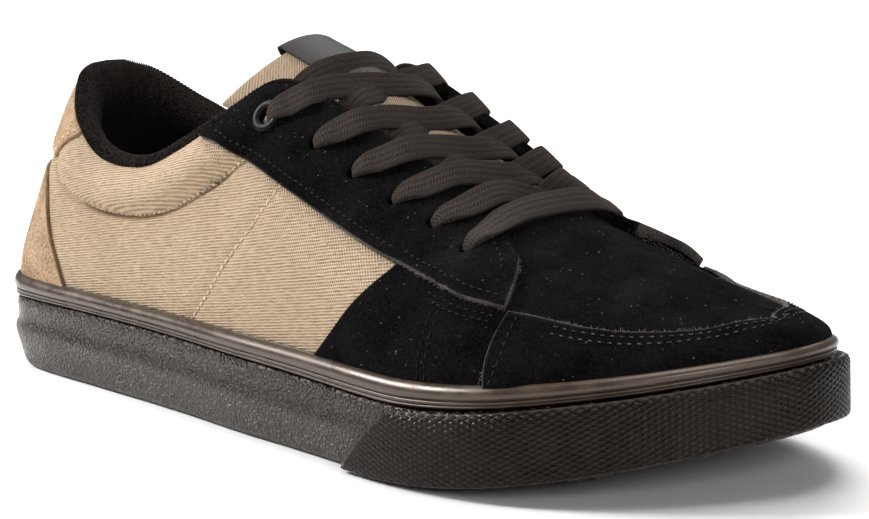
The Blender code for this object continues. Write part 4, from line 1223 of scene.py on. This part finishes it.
# Lace: flat braid, bunched where it leaves an eyelet
laceForm = {
    "width": 0.0080, "thickness": 0.0010, "bunchWidth": 0.0036, "bunchThickness": 0.0026, "step": 0.0008,
    "section": 24, "corners": (0.30, 0.28), "bow": 0.00012, "sway": 0.025, "swayRate": 420,
    # how each strand differs: start of its sway, and of its braid along and across
    "swayStart": 2.1, "braidStart": (0.031, 0.0137),
    "lift": 0.0027, "edgeLift": 0.0032, "aboveTongue": 0.0011, "tilt": (0.80, 0.0, 0.60), "edgeUp": 0.985,
    # through an eyelet: depth inside, height in the hole, way ahead of its middle, room over a ring
    "inside": 0.0050, "inHole": 0.0010, "ahead": (0.0006, 0.0036), "overHole": 0.0002, "overRing": 0.0006,
    # then: lean in the hole and over it, way to the edge where it is half wide, share still bunched there,
    # place up that the edge faces like, tilt on the edge
    "holeLean": (0.5, 0.25), "halfWay": 0.48, "halfBunch": 0.45, "facingUp": 0.97, "edgeTilt": 0.6,
    # under the other edge: way in, drop below it, room over the tongue, lean, hidden end's place up and depth
    "tuck": 0.0050, "drop": 0.0004, "clear": 0.0016, "gateLean": (0.5, 0.4),
    "hiddenUp": 0.88, "hiddenDepth": 0.0044, "hiddenWidth": 0.8,
    # rises of the near and far strands' middles, and how far they may sink below the throat's edges
    "nearRise": 0.0007, "farRise": -0.0004, "sink": 0.003,
    # the strand straight across at the top, and the bar at the bottom
    "topTurn": 0.492, "topAlong": 0.1425, "topRise": 0.0004,
    "barOver": 0.55, "barTurn": 0.004, "barRise": 0.0026, "barTilt": (0.62, -0.12, 0.78),
    # levels, counted in eyelets, where a strand crosses its own edge and goes under the other
    "crossing": (0.62, 1.66, 2.66, 3.62, 4.42), "under": (1.00, 2.00, 3.00, 3.92, 4.66),
}


def turnOfLevel(level):
    return float(np.interp(level, np.arange(len(eyelets)), [around for around, _ in eyelets]))


def tongueTop(x, y):
    half, sweep = curveThrough(tongueForm["sections"], 2, x), curveThrough(tongueForm["sections"], 4, x)
    across = (y - middleAt(x)) / half
    back = x + sweep * across * across
    crest, drop = curveThrough(tongueForm["sections"], 1, back), curveThrough(tongueForm["sections"], 3, back)
    return float(crest - drop * abs(across) ** tongueForm["round"] + tongueForm["crown"])


def overThroat(x, y, low):
    return np.array((x, y, max(tongueTop(x, y), low) + laceForm["aboveTongue"]))


def throughEyelet(start, crossing):
    # places of a strand from inside the shoe up through its eyelet and over the eyestay's edge
    around, up = start
    normal = normalAt(around, up)
    hole = upperAt(around, up)
    edgeAround, edgeUp = crossing
    edge = upperAt(edgeAround, edgeUp)
    edgeNormal = normalAt(edgeAround, min(edgeUp, laceForm["facingUp"]))
    heading = unit(edge - hole)
    way = laceForm["halfWay"]
    part = upperAt(around + (edgeAround - around) * way, up + (edgeUp - up) * way)
    partNormal = unit(normal + edgeNormal)
    bunch = (laceForm["bunchWidth"], laceForm["bunchThickness"])
    wide = (laceForm["width"], laceForm["thickness"])
    share = laceForm["halfBunch"]
    half = (bunch[0] * share + wide[0] * (1 - share), (bunch[1] + wide[1]) / 2)
    ring = laceForm["overRing"] if up == eyelets[0][1] else 0.0
    lift = laceForm["lift"]
    inHole, ahead = [heading * reach for reach in laceForm["ahead"]]
    tilted = unit(edgeNormal + np.array(laceForm["tilt"]) * laceForm["edgeTilt"])
    leanIn, leanOver = laceForm["holeLean"]
    over = hole + normal * (lift + laceForm["overHole"] + ring) + ahead
    return [
        (hole - normal * laceForm["inside"] + inHole, -heading, *bunch),
        (hole + normal * laceForm["inHole"] + inHole, unit(normal * leanIn - heading), *bunch),
        (over, unit(normal - heading * leanOver), *half),
        (part + partNormal * lift, partNormal, *wide),
        (edge + edgeNormal * laceForm["edgeLift"], tilted, *wide),
    ]


def strandPath(places):
    # smooth rows of place, facing, width and thickness through those places
    values = np.array([np.concatenate([point, facing, size]) for point, facing, *size in places])
    keyed = np.column_stack([runningLength(values[:, :3]), values])
    at = np.linspace(0, keyed[-1, 0], int(keyed[-1, 0] / laceForm["step"]))
    rows = np.stack([curveThrough(keyed, k, at) for k in range(1, keyed.shape[1])], -1)
    return rows, at


def strandObject(name, places, seed):
    rows, at = strandPath(places)
    point, facing, width, thick = rows[:, :3], unit(rows[:, 3:6]), rows[:, 6], rows[:, 7]
    along = unit(np.gradient(point, axis=0))
    aside = unit(np.cross(facing, along))
    normal = np.cross(along, aside)
    angle = np.linspace(0, 2 * np.pi, laceForm["section"], endpoint=False)
    sway = 1 + laceForm["sway"] * np.sin(at * laceForm["swayRate"] + seed * laceForm["swayStart"])

    def squared(values, power):
        return np.sign(values) * np.abs(values) ** power

    across = squared(np.cos(angle), laceForm["corners"][0])
    height = squared(np.sin(angle), laceForm["corners"][1])
    widths = across * (width * sway / 2)[:, None]
    heights = height * (thick / 2)[:, None] + laceForm["bow"] * (1 - across**2)
    points = point[:, None] + aside[:, None] * widths[..., None] + normal[:, None] * heights[..., None]
    startAlong, startAcross = laceForm["braidStart"]
    flatAcross = np.cos(angle) * (width / 2)[:, None] + seed * startAcross
    flat = stack(at[:, None] + seed * startAlong, flatAcross)
    return tubeObject(name, points, flat)


def throatHeight(x):
    return curveThrough(upperTable[:, [1, 3]], 1, x)


def underEdge(around, x, rise):
    # places of a strand from the middle of the throat down to its end under an edge
    wide = (laceForm["width"], laceForm["thickness"])
    tilt = unit(np.array(laceForm["tilt"]))
    end = topEdgeAt(np.array(around))
    inward = laceForm["tuck"] if end[1] < middleAt(end[0]) else -laceForm["tuck"]
    crest = overThroat(x, float(middleAt(x)), throatHeight(x) - laceForm["sink"])
    crest = crest + np.array((0.0, 0.0, rise))
    gate = np.array((end[0], end[1] + inward, end[2] - laceForm["drop"]))
    gate[2] = max(gate[2], tongueTop(gate[0], gate[1]) + laceForm["clear"])
    leanAside, leanUp = laceForm["gateLean"]
    gateFacing = unit(tilt + np.array((0.0, -leanAside * np.sign(inward), leanUp)))
    hiddenNormal = normalAt(around, laceForm["hiddenUp"])
    hidden = upperAt(around, laceForm["hiddenUp"]) - hiddenNormal * laceForm["hiddenDepth"]
    return [
        (crest, tilt, *wide),
        (gate, gateFacing, *wide),
        (hidden, hiddenNormal, wide[0] * laceForm["hiddenWidth"], wide[1]),
    ]


def crossingPlaces(n, lateral, rise):
    def sided(turn):
        return turn if lateral else 2 - turn

    start = (sided(eyelets[n][0]), eyelets[n][1])
    places = throughEyelet(start, (sided(turnOfLevel(laceForm["crossing"][n])), laceForm["edgeUp"]))
    under = 2 - sided(turnOfLevel(laceForm["under"][n]))
    x = float((places[-1][0][0] + topEdgeAt(np.array(under))[0]) / 2)
    return places + underEdge(under, x, rise)


def topPlaces():
    # the strand that runs straight across above the first crossing, both ends under the edges
    turn, x, rise = laceForm["topTurn"], laceForm["topAlong"], laceForm["topRise"]
    return underEdge(turn, x, rise)[::-1] + underEdge(2 - turn, x, rise)[1:]


def barPlaces():
    turn, up = eyelets[-1]
    over = up + (1 - up) * laceForm["barOver"]
    first = throughEyelet((turn, up), (turn + laceForm["barTurn"], over))
    last = throughEyelet((2 - turn, up), (2 - turn - laceForm["barTurn"], over))[::-1]
    x = (first[-1][0][0] + last[0][0][0]) / 2
    crest = np.array((x, float(middleAt(x)), throatHeight(x) + laceForm["barRise"]))
    middle = (crest, unit(np.array(laceForm["barTilt"])), laceForm["width"], laceForm["thickness"])
    inside, facing, *size = last[-1]
    return first + [middle] + last[:-1] + [(inside, -facing, *size)]


def makeLace():
    bar = strandObject("lace_bar_braid", barPlaces(), 0)
    finishPiece(bar, laceBraid, "lace_weave", "lace_bar")
    for n in range(len(laceForm["crossing"])):
        strands = [
            strandObject("near", crossingPlaces(n, True, laceForm["nearRise"]), 2 * n + 1),
            strandObject("far", crossingPlaces(n, False, laceForm["farRise"]), 2 * n + 2),
        ]
        if n == 0:
            strands.append(strandObject("top", topPlaces(), 11))
        both = joined(f"lace_crossing_{n + 1}_braid", strands)
        finishPiece(both, laceBraid, "lace_weave", f"lace_crossing_{n + 1}")


makeLace()
print("lace and eyelet rings")


# Sole
soleForm = {
    "turns": 230,
    # share of the wall's height, inset
    "wall": ((0.0, 0.0052), (0.004, 0.0044), (0.02, 0.0036), (0.05, 0.0029), (0.10, 0.0023), (0.20, 0.0017),
             (0.32, 0.0011), (0.42, 0.0005), (0.50, 0.0001), (0.56, 0.0), (0.61, 0.0003), (0.66, 0.0009),
             (0.72, 0.0012), (0.80, 0.0012), (0.90, 0.0011), (0.96, 0.0013), (1.0, 0.0020)),
    "band": ((0.00, 0.0022), (0.03, 0.0014), (0.08, 0.0010), (0.13, 0.0009), (0.15, 0.0011), (0.17, 0.0017),
             (0.19, 0.0011), (0.21, 0.0009), (0.29, 0.0009), (0.32, 0.0011), (0.34, 0.0017), (0.36, 0.0011),
             (0.38, 0.0008), (0.46, 0.0006), (0.56, 0.0005), (0.66, 0.0006), (0.76, 0.0009), (0.85, 0.0014),
             (0.92, 0.0020), (0.97, 0.0027), (1.0, 0.0036)),
    # insets of the tread's rim: under it, beside the lugs and at the ground
    "treadInsets": (0.0105, 0.0100, 0.0098), "lugRoom": 0.0016,
    # inset from the cup's wall, rise above its plate
    "insole": ((0.0034, 0.0004), (0.0034, 0.0034), (0.0039, 0.0044), (0.0050, 0.0050), (0.0114, 0.0042)),
}


def soleTurns():
    half = np.linspace(0, 1, soleForm["turns"])
    return np.concatenate([half, 2 - half[-2:0:-1]])


def soleRing(inset, height):
    point = ringAt(soleTurns(), inset + 0 * soleTurns())
    return stack(point[:, 0], point[:, 1], height(point[:, 0]))


def acrossFill(first, ring):
    # faces from side to side that close a ring
    k = np.arange(ring // 2)
    near, far = k, (-k) % ring
    nextNear, nextFar = k + 1, (-(k + 1)) % ring
    return [[first + v for v in dict.fromkeys(face)] for face in zip(near, far, nextFar, nextNear)]


def stackObject(name, rings, flat=None):
    rings = np.asarray(rings)
    count, ring = rings.shape[:2]
    faces = gridFaces(count, ring, closeColumns=True).tolist()
    for first in (0, (count - 1) * ring):
        faces += [face for face in acrossFill(first, ring) if len(face) > 2]
    return meshObject(name, rings, faces, flat, turnOut=True)


def aboveGround(rise):
    return lambda x: groundAt(x) + rise


def between(low, high, share):
    return lambda x: low(x) + (high(x) - low(x)) * share


def makeOutsole():
    under, beside, ground = soleForm["treadInsets"]
    rings = [soleRing(inset, aboveGround(soleForm["lugRoom"])) for inset in (under, beside)]
    rings += [soleRing(ground, groundAt)]
    rings += [soleRing(inset, between(groundAt, grooveAt, share)) for share, inset in soleForm["wall"]]
    rings += [soleRing(lastForm["cupWall"], height) for height in (grooveAt, aboveGround(lastForm["plate"]))]
    outsole = stackObject("outsole_cup", rings)
    finishPiece(outsole, outsoleRubber, "outsole_rubber", "outsole")


def makeBand():
    def bandLow(x):
        return grooveAt(x) + lastForm["joint"]

    profile = soleForm["band"] + ((1.0, lastForm["cupWall"]), (0.0, lastForm["cupWall"]))
    rings = [soleRing(inset, between(bandLow, bandTopAt, share)) for share, inset in profile]
    band = tubeObject("foxing_band_rubber", np.swapaxes(np.asarray(rings), 0, 1), None, closed=True)
    finishPiece(band, bandRubber, "band_rubber", "foxing_band")


def makeInsole():
    rings = [
        soleRing(lastForm["cupWall"] + inset, aboveGround(lastForm["plate"] + rise))
        for inset, rise in soleForm["insole"]
    ]
    insole = stackObject("insole_cloth", rings, (np.asarray(rings) + rowShift)[..., :2])
    finishPiece(insole, insoleCloth, "insole_cloth", "insole")


bumperForm = {
    # share of the wall's height, inset
    "profile": ((0.05, 0.0010), (0.07, 0.0005), (0.10, 0.0002), (0.14, 0.0), (0.88, 0.0), (0.93, 0.0002),
                (0.965, 0.0006), (0.985, 0.0012)),
    # shares that the columns of faces are spread over evenly, which brings them closer at the edges
    "shares": (0.05, 0.07, 0.10, 0.32, 0.55, 0.78, 0.93, 0.965, 0.985),
    "thickness": 0.0016, "rows": 690, "columns": 118, "arcTurns": (0.55, 1.45), "arcSteps": 1801,
    # the slanted rear ends: turn at the bottom, how far they lean forward, how much of that is bowed
    "rearLow": 0.587, "rearRun": 0.053, "rearBow": 0.25, "rearRound": 0.0011, "rearRoundRun": 0.006,
    # diamond knurl: length and height of a diamond, depth, plain borders, darkness of the painted shade in
    # the valleys
    "knurlLong": 0.0034, "knurlPitch": 0.00147, "knurl": 0.00055, "knurlRear": 0.008, "valleyShade": 0.36,
    "knurlLow": (0.050, 0.075), "knurlHigh": (0.990, 0.965), "knurlFollow": 0.3,
}


def bumperRear(share):
    bow = bumperForm["rearBow"]
    return bumperForm["rearLow"] + bumperForm["rearRun"] * ((1 - bow) * share + bow * share**3)


def bumperFaces(rows, columns):
    # the dense outer face, and a plain back with one row of points at each edge
    back = rows * columns + np.arange(rows)
    low = np.arange(rows) * columns
    high = low + columns - 1
    faces = gridFaces(rows, columns).tolist()
    for first, second in ((low, back), (back, back + rows), (back + rows, high)):
        faces += np.stack([first[:-1], second[:-1], second[1:], first[1:]], -1).tolist()
    for end in (0, rows - 1):
        faces.append([*range(end * columns, (end + 1) * columns), int(back[end]) + rows, int(back[end])])
    return faces


def knurlAt(around, rise):
    # 1 on the diamonds' peaks, 0 in the valleys
    turns = np.linspace(*bumperForm["arcTurns"], bumperForm["arcSteps"])
    along = np.interp(around, turns, runningLength(outlineAt(turns))) / bumperForm["knurlLong"]
    upward = rise / bumperForm["knurlPitch"]
    return np.minimum(*[np.abs(np.mod(line, 1) - 0.5) for line in (along + upward, along - upward)]) * 2


def fromBothEnds(run, s):
    return ease(0, run, s) * ease(1, 1 - run, s)


def makeBumper():
    # the toe bumper, with a diamond knurl pressed into its face
    knots = bumperForm["shares"]
    share = np.interp(np.linspace(0, 1, bumperForm["columns"]), np.linspace(0, 1, len(knots)), knots)
    inset = np.interp(share, *np.array(bumperForm["profile"]).T)
    rear = bumperRear(share)
    s = np.linspace(0, 1, bumperForm["rows"])[:, None]
    around = rear + (2 - 2 * rear) * s
    place = outlineAt(around)
    ground = groundAt(place[..., 0])
    height = ground + (grooveAt(place[..., 0]) - ground) * share
    peaks = knurlAt(around, (height - ground) + bumperForm["knurlFollow"] * ground)
    border = np.minimum(ease(*bumperForm["knurlLow"], share), ease(*bumperForm["knurlHigh"], share))
    border = border * fromBothEnds(bumperForm["knurlRear"], s)
    tip = bumperForm["rearRound"] * (1 - fromBothEnds(bumperForm["rearRoundRun"], s))
    depth = inset + tip + bumperForm["knurl"] * (0.5 - peaks) * border
    out = outwardAt(around)
    layers = (place - out * depth[..., None], place - out * bumperForm["thickness"])
    outer, inner = [stack(layer[..., 0], layer[..., 1], height) for layer in layers]
    points = np.concatenate([outer.reshape(-1, 3), inner[:, 0], inner[:, -1]])
    # painted shade for the knurl's valleys, carried in the edge attribute
    knurlValleyShade = (1 - peaks) ** bumperForm["valleyShade"] * border
    knurlValleyShade = np.concatenate([knurlValleyShade.ravel(), np.zeros(2 * len(s))])
    bumper = meshObject("toe_bumper_rubber", points, bumperFaces(*peaks.shape), None, knurlValleyShade, turnOut=True)
    finishPiece(bumper, bumperRubber, "bumper_rubber", "toe_bumper")


makeOutsole()
makeBand()
makeInsole()
makeBumper()
print("sole: outsole, band, bumper, insole")


# Stitches, edge fibres and sole lugs, repeated by Geometry Nodes

def repeatTree(name, inputs):
    tree = bpy.data.node_groups.new(name, "GeometryNodeTree")
    tree.interface.new_socket("Geometry", in_out="INPUT", socket_type="NodeSocketGeometry")
    for label, kind in inputs:
        tree.interface.new_socket(label, in_out="INPUT", socket_type="NodeSocket" + kind)
    tree.interface.new_socket("Geometry", in_out="OUTPUT", socket_type="NodeSocketGeometry")
    return tree, put(tree, "NodeGroupInput").outputs, put(tree, "NodeGroupOutput")


def endTree(tree, given, out, instances, smooth):
    solid = put(tree, "GeometryNodeRealizeInstances", {"Geometry": instances}).outputs[0]
    solid = put(tree, "GeometryNodeSetShadeSmooth", {"Geometry": solid, "Shade Smooth": smooth}).outputs[0]
    solid = put(tree, "GeometryNodeSetMaterial", {"Geometry": solid, "Material": given["Finish"]}).outputs[0]
    tree.links.new(solid, out.inputs[0])
    return tree


def alongLines(tree, given):
    line = put(tree, "GeometryNodeMeshToCurve", {"Mesh": given["Geometry"]}).outputs[0]
    inputs = {"Curve": line, "Length": given["Pitch"]}
    return put(tree, "GeometryNodeCurveToPoints", inputs, mode="LENGTH").outputs


def scaleOf(tree, *sizes):
    return put(tree, "ShaderNodeCombineXYZ", dict(enumerate(sizes))).outputs[0]


def stitchTree():
    tree, given, out = repeatTree("stitchRow", [
        ("Pitch", "Float"), ("Length", "Float"), ("Width", "Float"), ("Finish", "Material"),
    ])
    spots = alongLines(tree, given)
    thread = put(tree, "GeometryNodeMeshUVSphere", {"Segments": 8, "Rings": 6, "Radius": 0.5}).outputs[0]
    turned = put(tree, "FunctionNodeAlignRotationToVector", {"Vector": spots["Tangent"]}, axis="X").outputs[0]
    size = scaleOf(tree, given["Length"], given["Width"], given["Width"])
    inputs = {"Points": spots["Points"], "Instance": thread, "Rotation": turned, "Scale": size}
    return endTree(tree, given, out, put(tree, "GeometryNodeInstanceOnPoints", inputs).outputs[0], True)


def fibreTree():
    tree, given, out = repeatTree("edgeFibres", [
        ("Pitch", "Float"), ("Length", "Float"), ("Width", "Float"), ("Seed", "Int"), ("Finish", "Material"),
    ])
    spots = alongLines(tree, given)
    inputs = {"Vertices": 3, "Radius Top": 0.1, "Radius Bottom": 1.0, "Depth": 1.0}
    fibre = put(tree, "GeometryNodeMeshCone", inputs).outputs[0]
    turns = put(tree, "FunctionNodeRandomValue", {"Seed": given["Seed"]}, data_type="FLOAT_VECTOR")
    turns.inputs[0].default_value = (-math.pi, -math.pi, -math.pi)
    turns.inputs[1].default_value = (math.pi, math.pi, math.pi)
    turned = put(tree, "FunctionNodeEulerToRotation", {0: turns.outputs[0]}).outputs[0]
    size = scaleOf(tree, given["Width"], given["Width"], given["Length"])
    inputs = {"Points": spots["Points"], "Instance": fibre, "Rotation": turned, "Scale": size}
    return endTree(tree, given, out, put(tree, "GeometryNodeInstanceOnPoints", inputs).outputs[0], False)


def lugTree():
    sockets = [("Radius", "Float"), ("Depth", "Float"), ("Finish", "Material")]
    tree, given, out = repeatTree("soleLugs", sockets)
    inputs = {"Vertices": 6, "Radius": given["Radius"], "Depth": given["Depth"]}
    lug = put(tree, "GeometryNodeMeshCylinder", inputs).outputs[0]
    inputs = {"Points": given["Geometry"], "Instance": lug}
    return endTree(tree, given, out, put(tree, "GeometryNodeInstanceOnPoints", inputs).outputs[0], False)


def repeated(name, lines, tree, values):
    # runs the tree on lines of places and keeps what it makes as a plain mesh
    mesh = bpy.data.meshes.new(name)
    edges = []
    first = 0
    for line in lines:
        edges += [(first + k, first + k + 1) for k in range(len(line) - 1)]
        first += len(line)
    mesh.from_pydata((np.concatenate(lines) + rowShift).tolist(), edges, [])
    obj = bpy.data.objects.new(name, mesh)
    bpy.context.scene.collection.objects.link(obj)
    modifier = obj.modifiers.new("repeat", "NODES")
    modifier.node_group = tree
    for item in tree.interface.items_tree:
        if item.in_out == "INPUT" and item.name in values:
            modifier[item.identifier] = values[item.name]
    made = bpy.data.meshes.new_from_object(obj.evaluated_get(bpy.context.evaluated_depsgraph_get()))
    obj.modifiers.remove(modifier)
    obj.data = made
    bpy.data.meshes.remove(mesh)
    return obj


# Lines sewn or cut on the upper: places on each, and how far it may be moved around and up
lineForm = {"steps": 160, "mostAround": 0.03, "mostUp": 0.14, "probe": 0.002, "topmost": 0.995}


def besideLine(line, aside):
    # around and up of a smooth line on the upper, moved sideways along its face
    places = smoothLine(line, lineForm["steps"])
    around, up = places[:, 0], places[:, 1]
    point = upperAt(around, up)
    step = unit(np.cross(normalAt(around, up), np.gradient(point, axis=0))) * aside
    probe, probeUp = lineForm["probe"], lastForm["probeUp"]
    perTurn = (upperAt(around + probe, up) - upperAt(around - probe, up)) / (2 * probe)
    perUp = (upperAt(around, np.minimum(up + probeUp, 1)) - upperAt(around, up - probeUp)) / (2 * probeUp)

    def dot(first, second):
        return (first * second).sum(-1)

    tt, tu, uu = dot(perTurn, perTurn), dot(perTurn, perUp), dot(perUp, perUp)
    st, su = dot(step, perTurn), dot(step, perUp)
    spread = tt * uu - tu * tu
    moved = np.clip((st * uu - su * tu) / spread, -lineForm["mostAround"], lineForm["mostAround"])
    raised = np.clip((su * tt - st * tu) / spread, -lineForm["mostUp"], lineForm["mostUp"])
    return around + moved, up + raised


def bothSides(line, aside, lift):
    around, up = besideLine(line, aside)
    up = np.clip(up, 0.0, lineForm["topmost"])
    return [faceAt(around, up, lift), faceAt(2 - around, up, lift)]


# the eyestay's low edge, behind the side panel and on it
stayLow = [rib[:2] for rib in panels["eyestay"]]
stayBack = stayLow[1:6]
stayFore = stayLow[6:10]
stitching = {
    "height": 0.00012,
    # pitch, length and width of the stitches
    "sizes": {
        "bold": (0.0024, 0.0017, 0.00080), "long": (0.0028, 0.0020, 0.00070),
        "tab": (0.0026, 0.0018, 0.00050), "stay": (0.0024, 0.0016, 0.00050),
        "fine": (0.0022, 0.0014, 0.00048), "thin": (0.0026, 0.0017, 0.00040),
        "guard": (0.0024, 0.0012, 0.00040),
    },
    # name, line of turn and up, set in from it, thickness of what it is sewn on, size, thread
    "rows": (
        ("pad", relief["padLine"][2:-1], 0.0, 0.0007, "bold", "tan"),
        ("slant", relief["slantLine"], 0.0, 0.0003, "long", "tan"),
        ("tab", ((0.100, 0.750), (0.140, 0.750), (0.168, 0.775), (0.191, 0.866), (0.214, 0.950)),
         0.0022, 0.0012, "tab", "tan"),
        ("stayLow", stayBack, 0.0030, 0.0018, "stay", "black"),
        ("stayToe", ((0.616, 0.629), *stayFore), 0.0030, 0.0026, "stay", "black"),
        ("stayFront", ((0.700, 0.560), (0.692, 0.660), (0.682, 0.735), (0.664, 0.785)),
         0.0028, 0.0019, "stay", "black"),
        ("panelA", ((0.650, 0.566), (0.657, 0.546), (0.669, 0.534), (0.700, 0.531)),
         -0.0026, 0.0012, "fine", "black"),
        ("panelB", ((0.654, 0.554), (0.669, 0.534), (0.700, 0.531)), -0.0046, 0.0012, "fine", "black"),
        ("uprightA", ((0.656, 0.452), (0.656, 0.200)), 0.0, 0.0012, "thin", "black"),
        ("uprightB", ((0.662, 0.454), (0.662, 0.196)), 0.0, 0.0012, "thin", "black"),
        ("guardRear", ((0.707, 0.190), (0.713, 0.303), (0.712, 0.500)), -0.0030, 0.0023, "stay", "black"),
    ),
    # the two rows along the toe guard's edge, set in from it
    "guardRows": (-0.0022, -0.0046),
}


def stitchRow(name, lines, tree, size, thread):
    pitch, length, width = stitching["sizes"][size]
    values = {"Pitch": pitch, "Length": length, "Width": width, "Finish": thread}
    return repeated("stitch_" + name, lines, tree, values)


def makeStitches():
    tree = stitchTree()
    threads = {"tan": tanThread, "black": blackThread, "guard": greyThread}
    made = {key: [] for key in threads}
    for name, line, aside, thickness, size, thread in stitching["rows"]:
        lines = bothSides(line, aside, thickness + stitching["height"])
        made[thread].append(stitchRow(name, lines, tree, size, threads[thread]))
    for k, aside in enumerate(stitching["guardRows"]):
        around, up = besideLine(panels["toeGuard"][1:-1], aside)
        lines = [faceAt(around, up, panels["guardThickness"] + stitching["height"])]
        made["guard"].append(stitchRow(f"guard_{k}", lines, tree, "guard", greyThread))
    for key, thread in threads.items():
        finishPiece(joined("stitches_" + key, made[key]), thread, None, "upper")


fibreForm = {
    "pitch": 0.0003, "length": 0.0010, "width": 0.00005, "seed": 4, "lifts": (0.4, 0.8),
    # line of turn and up of a raw cut edge, thickness there, tone
    "rawEdges": (
        ((*stayBack, *stayFore, (0.707, 0.530)), 0.0016, "grey"),
        (((0.707, 0.535), (0.698, 0.645), (0.684, 0.745), (0.664, 0.790)), 0.0016, "grey"),
        (((0.707, 0.180), (0.713, 0.303), (0.712, 0.520)), 0.0018, "grey"),
        (((0.248, 0.178), (0.238, 0.310), (0.219, 0.432), (0.195, 0.540), (0.160, 0.640)), 0.0011, "brown"),
    ),
}


def makeFibres():
    tree = fibreTree()
    tones = {"grey": greyFibre, "brown": brownFibre}
    made = {key: [] for key in tones}
    base = {"Pitch": fibreForm["pitch"], "Length": fibreForm["length"], "Width": fibreForm["width"]}
    for k, (line, thickness, key) in enumerate(fibreForm["rawEdges"]):
        lines = [side for lift in fibreForm["lifts"] for side in bothSides(line, 0.0, thickness * lift)]
        values = dict(base, Seed=fibreForm["seed"] + k, Finish=tones[key])
        made[key].append(repeated(f"fibres_{k}", lines, tree, values))
    around, up = besideLine(panels["toeGuard"], 0.0)
    lines = [faceAt(around, up, panels["guardThickness"] * lift) for lift in fibreForm["lifts"]]
    values = dict(base, Seed=fibreForm["seed"], Finish=greyFibre)
    made["grey"].append(repeated("fibres_guard", lines, tree, values))
    for key, fibre in tones.items():
        finishPiece(joined("fibres_" + key, made[key]), fibre, None, "upper")


lugForm = {
    "pitch": 0.0112, "rowShare": 0.866, "radius": 0.0047, "sink": 0.0004,
    "margin": 0.0150, "from": 0.014, "to": 0.262, "side": 0.06, "samples": 400,
}


def makeLugs():
    # six-sided lugs in staggered rows
    turns = np.linspace(0, 1, lugForm["samples"])
    outer, inner = outlineAt(turns), outlineAt(2 - turns)
    pitch, margin, side = lugForm["pitch"], lugForm["margin"], lugForm["side"]
    places = []
    for k, x in enumerate(np.arange(lugForm["from"], lugForm["to"], pitch * lugForm["rowShare"])):
        low = np.interp(x, outer[:, 0], outer[:, 1]) + margin
        high = np.interp(x, inner[:, 0], inner[:, 1]) - margin
        ys = np.arange(-side + pitch / 2 * (k % 2), side, pitch)
        places += [(x, y, float(groundAt(x)) + soleForm["lugRoom"] / 2) for y in ys if low < y < high]
    depth = soleForm["lugRoom"] + lugForm["sink"]
    values = {"Radius": lugForm["radius"], "Depth": depth, "Finish": outsoleRubber}
    lugs = repeated("outsole_lugs", [np.array([place]) for place in places], lugTree(), values)
    finishPiece(lugs, outsoleRubber, "outsole_rubber", "outsole")


makeStitches()
makeFibres()
makeLugs()
print("stitches, fibres and lugs")


# Camera at the photograph's angle, for a frame of 869 by 519
cameraForm = {
    "turn": 47.3, "height": 10.0, "roll": -2.1, "distance": 0.7055, "lens": 105.46, "sensor": 36.0,
    "target": (0.1712, 0.0, 0.0462),
}


def makeCamera():
    a, e, r = [math.radians(cameraForm[key]) for key in ("turn", "height", "roll")]
    back = Vector((math.sin(a) * math.cos(e), -math.cos(a) * math.cos(e), math.sin(e)))
    right = Vector((math.cos(a), math.sin(a), 0))
    up = back.cross(right)
    right, up = math.cos(r) * right + math.sin(r) * up, math.cos(r) * up - math.sin(r) * right
    data = bpy.data.cameras.new("photoCamera")
    data.lens = cameraForm["lens"]
    data.sensor_width = cameraForm["sensor"]
    camera = bpy.data.objects.new("photoCamera", data)
    bpy.context.scene.collection.objects.link(camera)
    place = Vector(cameraForm["target"]) + Vector(rowShift) + back * cameraForm["distance"]
    turned = Matrix((right, up, back)).transposed().to_4x4()
    camera.matrix_world = Matrix.Translation(place) @ turned
    bpy.context.scene.camera = camera


studio = {
    "floor": tone(243, 243, 242), "floorHalf": 6.0, "world": 0.16,
    # name, place, aimed at, size, power
    "lights": (
        ("keyLight", (-0.78, -0.50, 0.74), (0, 0, 0.04), 0.31, 15.6),
        ("topLight", (0.15, 0.10, 1.50), (0, 0, 0.04), 0.9, 11.0),
        ("sideLight", (1.20, -0.55, 0.55), (0.05, 0, 0.04), 0.45, 6.5),
        ("backLight", (-1.20, 1.30, 1.70), (-1.20, 1.30, 0), 1.8, 62.0),
    ),
}


def makeStudio():
    floorMesh = bpy.data.meshes.new("studioFloor")
    half = studio["floorHalf"]
    corners = [(-half, -half, 0), (half, -half, 0), (half, half, 0), (-half, half, 0)]
    floorMesh.from_pydata(corners, [], [(0, 1, 2, 3)])
    floor = bpy.data.objects.new("studioFloor", floorMesh)
    bpy.context.scene.collection.objects.link(floor)
    material, _, shader = newFinish("studioFloor", roughness=0.9, specular=0.2)
    shader.inputs["Base Color"].default_value = studio["floor"]
    floorMesh.materials.append(material)
    world = bpy.data.worlds.new("studioWorld")
    world.use_nodes = True
    background = world.node_tree.nodes["Background"].inputs
    background["Color"].default_value = (1, 1, 1, 1)
    background["Strength"].default_value = studio["world"]
    bpy.context.scene.world = world
    for name, place, aim, size, power in studio["lights"]:
        data = bpy.data.lights.new(name, "AREA")
        data.size = size
        data.energy = power
        lamp = bpy.data.objects.new(name, data)
        lamp.location = place
        lamp.rotation_euler = (Vector(place) - Vector(aim)).to_track_quat("Z", "Y").to_euler()
        bpy.context.scene.collection.objects.link(lamp)
    bpy.context.scene.view_settings.view_transform = "Standard"


makeCamera()
makeStudio()
